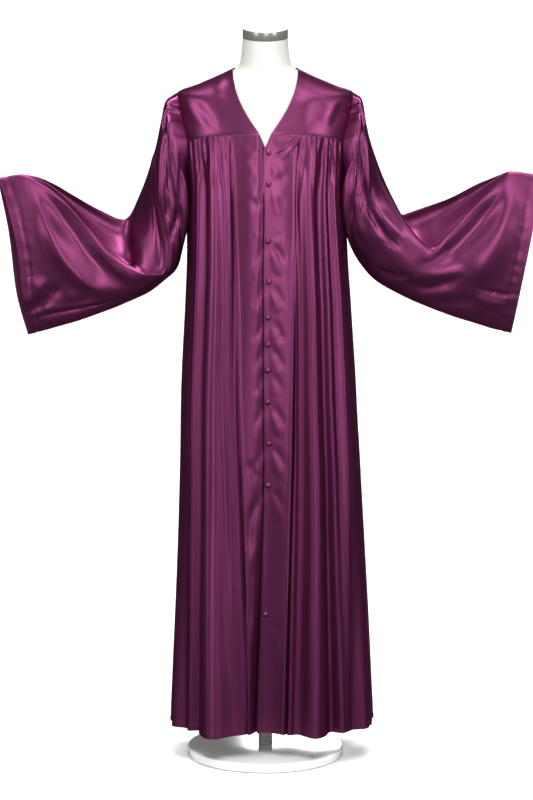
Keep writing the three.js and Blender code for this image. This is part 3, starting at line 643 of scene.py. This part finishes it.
def soft_waves(across, down, size):
    """Slight unevenness of hanging cloth, long down the cloth and short across it."""
    wave = np.sin(across / 21 + 0.9 * np.sin(down / 170) + 0.6)
    wave = wave + 0.7 * np.sin(across / 12.5 - down / 260 + 1.9 + np.sin(down / 95))
    wave = wave + 0.8 * np.sin(across / 37 + down / 120 + 4.1)
    return size * wave


def button_x(height):
    return float(body_ring(front_lines(height)[0], height)[0]) + BUTTON_INSET


def button_pulls():
    """Creases that run out from each button."""
    creases = []
    for height, share in zip(BUTTON_HEIGHTS, BUTTON_PULL_SHARES):
        x = button_x(height)
        for half, rise, points in BUTTON_PULLS:
            creases.append((half, rise * share, [(x + dx, height + dz) for dx, dz in points]))
    return creases


# Walls of cloth
def grid_normals(points, wraps):
    if wraps:
        across = np.roll(points, -1, axis=1) - np.roll(points, 1, axis=1)
    else:
        across = np.gradient(points, axis=1)
    down = np.gradient(points, axis=0)
    return unit(np.cross(across, down))


def moved_out(points, rise, facing, wraps=False):
    return points + grid_normals(points, wraps) * (facing * rise)[..., None]


def wall_faces(rows, columns, wraps, facing):
    """Faces of a wall: outer, inner and the cut edges between them."""
    index = np.arange(rows * columns).reshape(rows, columns)
    if wraps:
        index = np.concatenate([index, index[:, :1]], axis=1)
    inner = rows * columns
    a, b, c, d = index[:-1, :-1], index[:-1, 1:], index[1:, 1:], index[1:, :-1]
    outer_faces = np.stack([a, b, c, d], -1).reshape(-1, 4)
    inner_faces = np.stack([a, d, c, b], -1).reshape(-1, 4) + inner
    top, low = index[0], index[-1]

    def rim(start, end):
        return np.stack([start, end, end + inner, start + inner], -1)

    rims = [rim(top[1:], top[:-1]), rim(low[:-1], low[1:])]
    if not wraps:
        first, last = index[:, 0], index[:, -1]
        rims += [rim(first[:-1], first[1:]), rim(last[1:], last[:-1])]
    faces = np.vstack([outer_faces, inner_faces, *rims])
    return faces if facing > 0 else faces[:, ::-1]


def mesh_object(name, points, faces, places=None):
    """An object from points in millimetres, smooth but for its sharp edges."""
    mesh = bpy.data.meshes.new(name)
    corners = faces.shape[1]
    mesh.vertices.add(len(points))
    mesh.vertices.foreach_set("co", (points / 1000).astype(np.float32).ravel())
    mesh.loops.add(faces.size)
    mesh.loops.foreach_set("vertex_index", faces.astype(np.int32).ravel())
    mesh.polygons.add(len(faces))
    mesh.polygons.foreach_set("loop_start", np.arange(0, faces.size, corners, dtype=np.int32))
    mesh.polygons.foreach_set("use_smooth", np.ones(len(faces), bool))
    if places is not None:
        layer = mesh.uv_layers.new(name="weave")
        layer.data.foreach_set("uv", (places[faces.ravel()] / 1000).astype(np.float32).ravel())
    mesh.update(calc_edges=True)
    mesh.validate()
    mesh.set_sharp_from_angle(angle=math.radians(55))
    made = bpy.data.objects.new(name, mesh)
    bpy.context.scene.collection.objects.link(made)
    return made


def cloth_object(node, points, facing, material, wraps=False):
    normals = grid_normals(points, wraps) * facing
    inner = points - WALL * normals
    rows, columns = points.shape[:2]
    places = np.stack([distance_along(points, 1), distance_along(points, 0)], -1).reshape(-1, 2)
    both = np.vstack([points.reshape(-1, 3), inner.reshape(-1, 3)])
    faces = wall_faces(rows, columns, wraps, facing)
    made = mesh_object(node + "_cloth", both, faces, np.vstack([places, places]))
    reverse = made.data.attributes.new("reverse", "FLOAT", "POINT")
    reverse.data.foreach_set("value", np.repeat([0.0, 1.0], rows * columns))
    return dressed(made, node, material)


def dressed(made, node, material):
    made.data.materials.append(material)
    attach(made, "root")
    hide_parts(node)
    return made


def clear_of_form(points):
    """Points of a panel, moved out where they would come too close to the dress form."""
    height = points[..., 2]
    width, front, back = form_ring(np.clip(height, FORM_BOTTOM, NECK_TOP))
    reach = np.where(points[..., 1] < 0, front, back)
    share = np.hypot(points[..., 0] / (width + FORM_ROOM), points[..., 1] / (reach + FORM_ROOM))
    inside = (height > FORM_BOTTOM) & (share < 1)
    scale = np.where(inside, 1 / np.maximum(share, 0.5), 1)
    return points * np.stack([scale, scale, 1 + 0 * scale], -1)


# Front panels
def front_angle(u, height, wearer):
    opening, right, left = front_lines(height)
    start = opening if wearer > 0 else opening + UNDERLAP
    pleat = left if wearer > 0 else right
    centre = mix(start, pleat, u)
    gathered = mix(pleat, wearer * CORNER_ANGLE, u - 1)
    side = wearer * mix(CORNER_ANGLE, 90, u - 2)
    return np.where(u < 1, centre, np.where(u < 2, gathered, side))


def lap_inset(angle, height):
    past = angle - front_lines(height)[0]
    fall = LAP_FALL * np.clip((LAST_CLOSED - height) / (LAST_CLOSED - HEM), 0, 1)
    return (LAP_INSET + fall) * ease((past + 5.5) / 4)


def front_top(angle):
    x = np.abs(YOKE_HALF_WIDTH * np.sin(np.radians(angle)))
    edge = mix(V_POINT, YOKE_SEAM, x / V_HALF_AT_SEAM)
    return np.minimum(edge, panel_top(np.abs(angle)))


def pleat_rise(angle, pleat, height, wearer):
    """A pressed pleat: the cloth past its edge drops behind the centre strip, and the edge rolls over."""
    past = (angle - pleat) * wearer * MM_PER_DEGREE
    groove = PLEAT_GROOVE * bell(past, PLEAT_GROOVE_WIDTH)
    drop = -(PLEAT_DROP * np.exp(-past / PLEAT_DROP_WIDTH) + groove) * (past > 0)
    roll = PLEAT_ROLL * bell(past + PLEAT_ROLL_WIDTH, PLEAT_ROLL_WIDTH) * (past <= 0)
    room = mix(1, PLEAT_CHEST_SHARE, ease((height - PLEAT_DEEP_BELOW) / PLEAT_FADE))
    return (drop * room + roll) * ease((YOKE_SEAM + 4 - height) / 40)


def opening_rise(angle, height):
    """The right front turns in beside the edge that laps over it."""
    past = (angle - front_lines(height)[0]) * MM_PER_DEGREE
    return -OPENING_GROOVE * bell(past + 1, OPENING_GROOVE_WIDTH)


def hem_rise(above):
    """A turned hem, which stands out a little below its row of stitches."""
    groove = -HEM_GROOVE * bell(above - HEM_STITCH, STITCH_WIDTH)
    return HEM_EXTRA * ease((HEM_STITCH - above) / 2) + groove


def front_grid(wearer):
    u = np.concatenate([
        1 - (1 - np.linspace(0, 1, CENTRE_COLUMN_COUNT, endpoint=False)) ** 1.4,
        1 + np.linspace(0, 1, GATHER_COLUMN_COUNT, endpoint=False) ** 1.35,
        np.linspace(2, 3, SIDE_COLUMN_COUNT),
    ])[None, :]
    v = (np.linspace(0, 1, PANEL_ROW_COUNT) ** ROW_CROWDING)[:, None]
    top = front_top(front_angle(u, YOKE_SEAM, wearer)) - SEAM
    height = mix(top, HEM, v)
    angle = front_angle(u + 0 * v, height, wearer)
    lines = front_lines(height)
    pleat = lines[2] if wearer > 0 else lines[1]
    gathers = gather_rise(np.abs(angle), height, np.abs(pleat), CORNER_ANGLE, FRONT_GATHERS)
    inset = 0 if wearer > 0 else lap_inset(angle, height)
    points = body_point(angle, height, fold_rise(angle, height) + gathers - inset)
    points[..., 1] -= SEAM / 2
    below = top - height
    rise = crease_rise(points[..., 0], height, FRONT_CREASES + button_pulls())
    rise = rise + soft_waves(points[..., 0], height, PANEL_WAVE) * ease(below / 60)
    rise = rise + pleat_rise(angle, pleat, height, wearer) + hem_rise(height - HEM)
    rise = rise - SEAM_ROLL * bell(below, SEAM_ROLL_WIDTH)
    if wearer < 0:
        rise = rise + opening_rise(angle, height)
    return clear_of_form(moved_out(points, rise, -wearer))


# Back panel
def back_grid():
    angle = np.linspace(90, 270, BACK_COLUMN_COUNT)[None, :]
    v = (np.linspace(0, 1, PANEL_ROW_COUNT) ** ROW_CROWDING)[:, None]
    top = panel_top(np.abs(180 - angle)) - SEAM
    height = mix(top, HEM, v)
    angle = angle + 0 * v
    gathers = gather_rise(angle, height, 180 - CORNER_ANGLE, 180 + CORNER_ANGLE, BACK_GATHERS)
    points = body_point(angle, height, fold_rise(angle, height) + gathers)
    points[..., 1] += SEAM / 2
    below = top - height
    rise = soft_waves(points[..., 0] + 40, height + 90, BACK_WAVE) * ease(below / 60)
    rise = rise + hem_rise(height - HEM)
    rise = rise - SEAM_ROLL * bell(below, SEAM_ROLL_WIDTH)
    return clear_of_form(moved_out(points, rise, -1))


# Yokes
def shoulder_line(share):
    height = mix(NECK_POINT, SHOULDER_TIP, share)
    return gown_ring(height)[0], height


def yoke_points(upper, lower, row, side, bow):
    share = row * row
    x = mix(upper[0], lower[0], share) + bow * 4 * share * (1 - share)
    height = mix(upper[1], lower[1], share)
    return np.stack([x, body_depth(x, height, side) + side * SEAM / 2, height], -1)


def relaxed(points, rounds):
    """Rows of a grid eased towards the rows beside them, with the first and last kept."""
    for _ in range(rounds):
        points[1:-1] = 0.5 * points[1:-1] + 0.25 * (points[:-2] + points[2:])
    return points


def yoke_edge_roll(points):
    """The yoke's edges turn in at the shoulder seam and at the yoke seam."""
    down = distance_along(points, 0)
    rest = down[-1:] - down
    return -SEAM_ROLL * (bell(rest, SEAM_ROLL_WIDTH) + 0.7 * bell(down, SEAM_ROLL_WIDTH))


def front_yoke_grid(wearer):
    u = np.linspace(0, 1, YOKE_COLUMN_COUNT)[None, :]
    v = np.linspace(0, 1, YOKE_ROW_COUNT)[:, None] + 0 * u
    x = mix(V_HALF_AT_SEAM, ARMHOLE_X, u)
    points = yoke_points(shoulder_line(u), (x, yoke_seam_at(x) + SEAM), v, -1, V_BOW * (1 - u) ** 2)
    points = relaxed(points, YOKE_EASE)
    points[..., 0] *= wearer
    rise = crease_rise(points[..., 0], points[..., 2], YOKE_CREASES) + yoke_edge_roll(points)
    rise = rise + soft_waves(points[..., 0] * 0.6, points[..., 2] * 2, PANEL_WAVE)
    return moved_out(points, rise, -wearer)


def back_yoke_grid():
    u = np.linspace(-1.5, 1.5, BACK_YOKE_COLUMN_COUNT)[None, :]
    v = np.linspace(0, 1, YOKE_ROW_COUNT)[:, None] + 0 * u
    side = np.abs(u)
    across = np.sin(np.pi * np.minimum(0.5, side))
    tip_x, tip_height = shoulder_line(np.maximum(0, side - 0.5))
    neck_x = shoulder_line(np.zeros(1))[0] * across
    neck_height = NECK_POINT - BACK_NECK_DROP * (1 - across**4)
    upper = np.where(side < 0.5, neck_x, tip_x), np.where(side < 0.5, neck_height, tip_height)
    x = ARMHOLE_X * side / 1.5
    points = relaxed(yoke_points(upper, (x, yoke_seam_at(x) + SEAM), v, 1, 0), YOKE_EASE)
    points[..., 0] *= np.where(u < 0, 1, -1)
    rise = crease_rise(points[..., 0], points[..., 2], BACK_YOKE_CREASES) + yoke_edge_roll(points)
    return moved_out(points, rise, -1)


# Sleeves
def armhole_edge(turn, wearer):
    """Armhole edge, round from the shoulder tip (0) over the front to the underarm (0.5)."""
    is_front = turn < 0.5
    height = mix(SHOULDER_TIP, UNDERARM, (1 - np.cos(2 * np.pi * turn)) / 2)
    fall = (SHOULDER_TIP - height) / (SHOULDER_TIP - ARMHOLE_CORNER)
    yoke_x = mix(SHOULDER_TIP_X, ARMHOLE_X, fall)
    yoke_y = np.where(is_front, body_depth(yoke_x, height, -1), body_depth(yoke_x, height, 1))
    on_yoke = np.stack([yoke_x, yoke_y, height], -1)
    angle = armhole_angle(height)
    on_panel = body_point(np.where(is_front, angle, 180 - angle), height, 0 * height)
    on_panel[..., 0] += (wearer - 1) * gown_ring(height)[3]
    return np.where((height > ARMHOLE_CORNER)[..., None], on_yoke, on_panel)


def sleeve_section(row):
    """Points that a section passes through, from the trough over the front ridge and back."""
    back_x, back_z, front_x, front_z, low_x, low_z, depth, lip, trough, drop, bow = row

    def between(x, z, share, y, out=0):
        return (mix(x, low_x, share) + out, y, mix(z, low_z, share))

    if drop < -20:
        top = between(mix(front_x, back_x, 0.6), mix(front_z, back_z, 0.6), 0, trough * depth)
    else:
        length = math.hypot(front_x - low_x, front_z - low_z)
        x = min(mix(front_x, back_x, 0.5), front_x)
        z = min(mix(front_z, back_z, 0.5), front_z)
        top = between(x, z, drop / length, trough * depth)
    return [
        top,
        between(front_x, front_z, 0, -lip * depth),
        between(front_x, front_z, 0.36, -depth),
        between(front_x, front_z, 0.76, -0.72 * depth, bow),
        between(low_x, low_z, 0, 0),
        between(back_x, back_z, 0.74, 0.66 * depth, bow),
        between(back_x, back_z, 0.34, 0.9 * depth),
        between(back_x, back_z, 0, 0.8 * lip * depth),
    ]


def sleeve_rings(rows, wearer, turn):
    """The armhole's ring and each section's ring, at shares of the way round."""
    edge = armhole_edge(turn, wearer)
    edge *= np.array([1, ARMHOLE_TUCK, 1])
    edge[..., 0] -= ARMHOLE_ROOM
    rings = [edge]
    for row in rows:
        keys = np.array(sleeve_section(row), float)
        place = turn * len(keys)
        i = np.floor(place).astype(int)
        share = (place - i)[:, None]
        four = [keys[(i + j) % len(keys)] for j in (-1, 0, 1, 2)]
        rings.append(through_four(*four, share))
    return np.array(rings)


def sleeve_fold_rise(section, turn):
    total = np.zeros(np.broadcast(section, turn).shape)
    for from_section, from_turn, to_section, to_turn, half, rise in SLEEVE_FOLD_ROWS:
        share = np.clip((section - from_section) / (to_section - from_section), 0, 1)
        away = (turn - mix(from_turn, to_turn, share)) / half
        ends = ease(2 * (section - from_section + 1)) * ease(2 * (to_section - section + 1))
        total += rise * hump(away) * ends * np.sin(np.pi * mix(0.15, 0.85, share))
    return total


def trough_rise(section, turn):
    """The cloth behind the front ridge hangs hollow, so that its upper part leans over."""
    hollow = TROUGH_HOLLOW * hump((turn - TROUGH_TURN) / TROUGH_HALF)
    return -hollow * ease((section - 5) / 2) * ease((12 - section) / 2.5)


def sleeve_gather_rise(section, turn):
    """Gathers round the head of a sleeve, uneven, fading away from the armhole."""
    from_top = np.minimum(turn, 1 - turn) / 0.25
    warped = from_top + 0.03 * np.sin(11 * from_top + 5 * turn)
    wave = np.cos(np.pi * SLEEVE_GATHERS * warped)
    uneven = 1 + 0.4 * np.sin(13 * turn + 0.5)
    size = SLEEVE_GATHER_RISE * uneven * np.clip(section * 1.5, 0, 1) * np.exp(-0.6 * section / uneven)
    return np.where(from_top < 1, size * wave * ease(3 * (1 - from_top)), 0)


def cuff_rise(points):
    """A stitched cuff hem with small puckers along it."""
    inside = distance_along(points[::-1], 0)[::-1]
    around = distance_along(points, 1)
    groove = -CUFF_GROOVE * bell(inside - CUFF_STITCH, CUFF_GROOVE_WIDTH)
    pucker = np.sin(around / 5.2 + 1.4 * np.sin(around / 19)) * bell(inside - CUFF_STITCH, CUFF_PUCKER_WIDTH)
    return groove + CUFF_PUCKER * pucker


def sleeve_grid(rows, wearer, creases, slant):
    turn = (np.linspace(0, 1, SLEEVE_COLUMN_COUNT, endpoint=False) + 0.5 / SLEEVE_COLUMN_COUNT)[None, :]
    section = (len(rows) * np.linspace(0, 1, SLEEVE_ROW_COUNT) ** 1.15)[:, None]
    rings = sleeve_rings(rows, wearer, turn[0])
    k = np.minimum(len(rows) - 1, np.floor(section[:, 0]).astype(int))
    four = [rings[np.clip(k + j, 0, len(rows))] for j in (-1, 0, 1, 2)]
    points = through_four(*four, (section[:, 0] - k)[:, None, None])
    rise = sleeve_fold_rise(section, turn) + sleeve_gather_rise(section, turn) + trough_rise(section, turn)
    points = moved_out(points, rise, 1, True)
    on_front = ease((turn - 0.1) / 0.05) * ease((0.5 - turn) / 0.04)
    on_back = ease((turn - 0.5) / 0.04) * ease((0.9 - turn) / 0.05)
    inward = np.sin(np.pi * np.clip((turn - 0.1) / 0.4, 0, 1)) * ease((section - 10.5) / 2.5)
    points[..., 0] -= slant * on_front * inward
    x = points[..., 0]
    height = points[..., 2]
    start = ease(section / 0.9)
    front_creases = on_front * crease_rise(x, height, creases)
    back_creases = on_back * crease_rise(x, height, SLEEVE_BACK_CREASES)
    rise = (front_creases + back_creases) * start
    rise = rise + soft_waves(x + height * 0.4, x * 1.5 - height, SLEEVE_WAVE) * start + cuff_rise(points)
    rise = rise - SEAM_ROLL * bell(section, SLEEVE_SEAM_WIDTH)
    points = moved_out(points, rise, 1, True)
    return points * np.array([wearer, 1, 1])


# Turned pieces
def ring_faces(rows, columns):
    """Faces between closed rings of points, each ring above the one before."""
    index = np.arange(rows * columns).reshape(rows, columns)
    beside = np.roll(index, -1, axis=1)
    return np.stack([index[:-1], beside[:-1], beside[1:], index[1:]], -1).reshape(-1, 4)


def lathe(profile, around):
    """Points and faces of a profile of (radius, height) turned about Z, its ends close to the axis."""
    ring = np.array(profile, float)
    turn = np.linspace(0, 2 * np.pi, around, endpoint=False)
    x = ring[:, None, 0] * np.cos(turn)
    y = ring[:, None, 0] * np.sin(turn)
    z = ring[:, None, 1] + 0 * turn
    points = np.stack([x, y, z], -1).reshape(-1, 3)
    return points, ring_faces(len(ring), around)


def rounded(radius, height, edge, steps):
    """Profile of a rounded outer edge, from the side up to the top."""
    turn = np.linspace(0, np.pi / 2, steps)
    return [(radius - edge + edge * math.cos(t), height - edge + edge * math.sin(t)) for t in turn]


def disc(radius, height, low_edge, top_edge, steps=EDGE_STEPS):
    """Profile of a disc or rod, from the middle of its underside to the middle of its top."""
    top = rounded(radius, height, top_edge, steps)
    return [(AXIS_RADIUS, 0), (radius - low_edge, 0), (radius, low_edge), *top, (AXIS_RADIUS, height)]


def turned_object(node, profile, around, bottom, material):
    points, faces = lathe(profile, around)
    made = mesh_object(node + "_turned", points + np.array([0, 0, bottom]), faces)
    return dressed(made, node, material)


def form_object(material):
    """The dress form: smooth rings, closed below and at the neck."""
    heights = np.concatenate([np.linspace(FORM_BOTTOM, 900, 26)[:-1], np.linspace(900, NECK_TOP, 150)])
    turn = np.linspace(0, 360, FORM_AROUND, endpoint=False)[None, :]
    width, front, back = (column[:, None] for column in form_ring(heights))
    cosine = np.cos(np.radians(turn))
    reach = np.where(cosine > 0, front, back)
    rings = np.stack([width * np.sin(np.radians(turn)), -reach * cosine, heights[:, None] + 0 * turn], -1)
    ends = [rings[:1] * [0.004, 0.004, 1], rings, rings[-1:] * [0.004, 0.004, 1]]
    points = np.concatenate(ends)
    faces = ring_faces(*points.shape[:2])
    made = mesh_object("form_torso_smooth", points.reshape(-1, 3), faces)
    return dressed(made, "form_torso", material)


def button_object(node, place, outward, material):
    """A covered button: a low dome with a turned-in rim."""
    crown = BUTTON_RISE - BUTTON_RIM
    turn = np.linspace(0, 1.55, 14)
    dome = [(BUTTON_RADIUS * math.cos(t), BUTTON_RIM + crown * math.sin(t) ** 0.9) for t in turn]
    rim = [(AXIS_RADIUS, 0), (BUTTON_RADIUS - BUTTON_RIM, 0), (BUTTON_RADIUS - 0.3, 0.35)]
    points, faces = lathe([*rim, *dome, (AXIS_RADIUS, BUTTON_RISE)], BUTTON_AROUND)
    turn = Vector((0, 0, 1)).rotation_difference(Vector(outward)).to_matrix()
    points = points @ np.array(turn).T + place + BUTTON_ROOM * outward
    made = mesh_object(node + "_covered", points, faces)
    return dressed(made, node, material)


def button_objects(points, material):
    """Buttons near the left front's edge, each standing on the nearest part of the cloth."""
    normals = -grid_normals(points, False)
    for number, height in enumerate(BUTTON_HEIGHTS, 1):
        away = (points[..., 0] - button_x(height)) ** 2 + (points[..., 2] - height) ** 2
        i, j = np.unravel_index(np.argmin(away), away.shape)
        outward = unit(normals[i - 2 : i + 3, max(0, j - 2) : j + 3].reshape(-1, 3).mean(0))
        button_object(f"button_{number:02d}", points[i, j] + BUTTON_LIFT * outward, outward, material)


# Materials
EVEN = (1, 1, 1)  # a noise that isn't stretched


def feed(node, inputs):
    """Sets a node's inputs: an output of another node is linked, a number or colour is set."""
    for name, value in inputs.items():
        if isinstance(value, bpy.types.NodeSocket):
            node.id_data.links.new(value, node.inputs[name])
        else:
            node.inputs[name].default_value = value


def add_node(tree, kind, inputs):
    made = tree.nodes.new("ShaderNode" + kind)
    feed(made, inputs)
    return made


def new_material(name):
    made = bpy.data.materials.new(name)
    made.use_nodes = True
    return made, made.node_tree, made.node_tree.nodes["Principled BSDF"]


def stretched_noise(tree, source, scale, stretch, detail):
    place = add_node(tree, "Mapping", {"Vector": source, "Scale": stretch}).outputs["Vector"]
    noise = add_node(tree, "TexNoise", {"Vector": place, "Scale": scale, "Detail": detail})
    return noise.outputs["Fac"]


def colour_ramp(tree, source, dark, light):
    ramp = add_node(tree, "ValToRGB", {"Fac": source})
    for element, position, colour in zip(ramp.color_ramp.elements, (0.3, 0.7), (dark, light)):
        element.position = position
        element.color = (*colour, 1)
    return ramp.outputs["Color"]


def bump(tree, source, strength, distance):
    made = add_node(tree, "Bump", {"Height": source, "Strength": strength, "Distance": distance})
    return made.outputs["Normal"]


def mixed(tree, share, start, end):
    """A number that goes from one value to another with a share."""
    return add_node(tree, "MapRange", {"Value": share, "To Min": start, "To Max": end}).outputs["Result"]


def satin_material():
    """Plum satin: long floating threads down the cloth, soft coloured highlights, a dull reverse."""
    made, tree, shader = new_material("plum_satin")
    weave = add_node(tree, "UVMap", {})
    weave.uv_map = "weave"
    side = add_node(tree, "Attribute", {})
    side.attribute_name = "reverse"
    reverse = side.outputs["Fac"]
    threads = stretched_noise(tree, weave.outputs["UV"], 900, (1, 0.03, 1), 2)
    streaks = stretched_noise(tree, weave.outputs["UV"], 60, (1, 0.05, 1), 3)
    face = colour_ramp(tree, streaks, (0.19, 0.033, 0.112), (0.22, 0.039, 0.13))
    colour = add_node(tree, "Mix", {})
    colour.data_type = "RGBA"
    feed(colour, {"Factor": reverse, "A": face, "B": (0.1, 0.016, 0.058, 1)})
    feed(shader, {
        "Base Color": colour.outputs["Result"],
        "Roughness": mixed(tree, reverse, mixed(tree, streaks, 0.34, 0.41), 0.6),
        "Metallic": mixed(tree, reverse, 0.93, 0.4),
        "Specular IOR Level": 0.5,
        "Specular Tint": (0.48, 0.22, 0.36, 1),
        "Coat Weight": 0.15,
        "Coat Roughness": 0.36,
        "Normal": bump(tree, threads, 0.12, 0.0002),
    })
    return made


def uneven_material(name, scale, stretch, detail, dark, light):
    """A material whose colour varies a little from place to place, with the noise it follows."""
    made, tree, shader = new_material(name)
    place = add_node(tree, "TexCoord", {}).outputs["Object"]
    noise = stretched_noise(tree, place, scale, stretch, detail)
    feed(shader, {"Base Color": colour_ramp(tree, noise, dark, light)})
    return made, tree, shader, place, noise


def form_material():
    """Off-white, half matt skin of the dress form, with a very fine orange peel."""
    parts = uneven_material("form_skin", 18, EVEN, 3, (0.71, 0.69, 0.66), (0.76, 0.74, 0.71))
    made, tree, shader, place, mottle = parts
    grain = stretched_noise(tree, place, 900, EVEN, 2)
    feed(shader, {"Roughness": mixed(tree, mottle, 0.42, 0.54), "Normal": bump(tree, grain, 0.08, 0.0003)})
    return made


def steel_material():
    """Brushed steel, its lines round the piece."""
    stretch = (0.02, 0.02, 8)
    parts = uneven_material("brushed_steel", 100, stretch, 3, (0.44, 0.43, 0.42), (0.55, 0.54, 0.53))
    made, tree, shader, _, lines = parts
    feed(shader, {"Roughness": mixed(tree, lines, 0.22, 0.34), "Normal": bump(tree, lines, 0.04, 0.0002)})
    feed(shader, {"Metallic": 0.7})
    return made


def base_material():
    """Gloss white lacquer with faint unevenness."""
    parts = uneven_material("base_lacquer", 14, EVEN, 3, (0.83, 0.83, 0.83), (0.88, 0.88, 0.88))
    made, tree, shader, _, cloud = parts
    feed(shader, {"Roughness": mixed(tree, cloud, 0.1, 0.18), "Normal": bump(tree, cloud, 0.03, 0.001)})
    return made


def pad_material():
    """Dark rubber with a fine grain."""
    parts = uneven_material("pad_rubber", 400, EVEN, 3, (0.012, 0.012, 0.012), (0.03, 0.03, 0.03))
    made, tree, shader, _, grain = parts
    feed(shader, {"Roughness": 0.8, "Normal": bump(tree, grain, 0.2, 0.0004)})
    return made


def floor_material():
    """A pale floor that glows faintly."""
    parts = uneven_material("pale_floor", 0.6, EVEN, 2, (0.86, 0.86, 0.86), (0.87, 0.87, 0.87))
    made, _, shader, _, _ = parts
    feed(shader, {"Roughness": 0.7, "Emission Color": (1, 1, 1, 1), "Emission Strength": FLOOR_GLOW})
    return made


# Stage, light and camera
def make_floor():
    corners = FLOOR_HALF * np.array([(-1, -1, 0), (1, -1, 0), (1, 1, 0), (-1, 1, 0)], float)
    floor = mesh_object("floor", corners, np.array([[0, 1, 2, 3]]))
    floor.data.materials.append(floor_material())
    floor.visible_glossy = False


def area_light(name, place, aim, size, power, spread):
    """A softbox whose light keeps within a spread in degrees."""
    light = bpy.data.lights.new(name, "AREA")
    light.shape = "RECTANGLE"
    light.size, light.size_y = size
    light.energy = power
    light.spread = math.radians(spread)
    made = bpy.data.objects.new(name, light)
    made.location = place
    made.rotation_euler = (Vector(aim) - Vector(place)).to_track_quat("-Z", "Y").to_euler()
    bpy.context.scene.collection.objects.link(made)


def make_light():
    for row in LIGHT_ROWS:
        area_light(*row)
    world = bpy.data.worlds.new("studio")
    world.use_nodes = True
    feed(world.node_tree.nodes["Background"], {"Color": WORLD_COLOUR, "Strength": WORLD_STRENGTH})
    bpy.context.scene.world = world
    bpy.context.scene.view_settings.view_transform = "Standard"


def make_camera():
    data = bpy.data.cameras.new("camera")
    camera = bpy.data.objects.new("camera", data)
    camera.location = CAMERA_PLACE
    toward = Vector(CAMERA_AIM) - Vector(CAMERA_PLACE)
    camera.rotation_euler = toward.to_track_quat("-Z", "Y").to_euler()
    seen = PICTURE_LONG_SIDE * MM_PER_PIXEL / 1000
    data.lens = data.sensor_width * toward.length / seen
    data.clip_end = 1000
    bpy.context.scene.collection.objects.link(camera)
    bpy.context.scene.camera = camera


# The whole
def make_gown(satin):
    for side, wearer in (("right", -1), ("left", 1)):
        points = front_grid(wearer)
        cloth_object("front_" + side, points, -wearer, satin)
        yoke = "yoke_front_" + side
        cloth_object(yoke, front_yoke_grid(wearer), -wearer, satin)
    button_objects(points, satin)
    cloth_object("back", back_grid(), -1, satin)
    cloth_object("yoke_back", back_yoke_grid(), -1, satin)
    right = sleeve_grid(RIGHT_SLEEVE_ROWS, -1, RIGHT_SLEEVE_CREASES, CUFF_SLANT)
    left = sleeve_grid(LEFT_SLEEVE_ROWS, 1, LEFT_SLEEVE_CREASES, 0)
    cloth_object("sleeve_right", right, -1, satin, True)
    cloth_object("sleeve_left", left, 1, satin, True)


def make_stand(form, steel, lacquer, rubber):
    form_object(form)
    base_bottom = PAD_THICK + SEAM
    base_top = base_bottom + BASE_THICK
    pole_length = FORM_BOTTOM - base_top - 2 * SEAM
    cap = disc(CAP_RADIUS, CAP_THICK - SEAM, CAP_LOW_EDGE, CAP_EDGE)
    turned_object("form_cap", cap, CAP_AROUND, NECK_TOP + SEAM, steel)
    pole = disc(POLE_RADIUS, pole_length, POLE_EDGE, POLE_EDGE, BEVEL_STEPS)
    turned_object("stand_pole", pole, POLE_AROUND, base_top + SEAM, steel)
    base = disc(BASE_RADIUS, BASE_THICK, BASE_LOW_EDGE, BASE_EDGE)
    turned_object("stand_base", base, BASE_AROUND, base_bottom, lacquer)
    pad = disc(PAD_RADIUS, PAD_THICK, PAD_EDGE, PAD_EDGE, BEVEL_STEPS)
    turned_object("stand_pad", pad, PAD_AROUND, 0, rubber)


make_camera()
make_light()
make_floor()
make_gown(satin_material())
make_stand(form_material(), steel_material(), base_material(), pad_material())

bpy.context.view_layer.update()
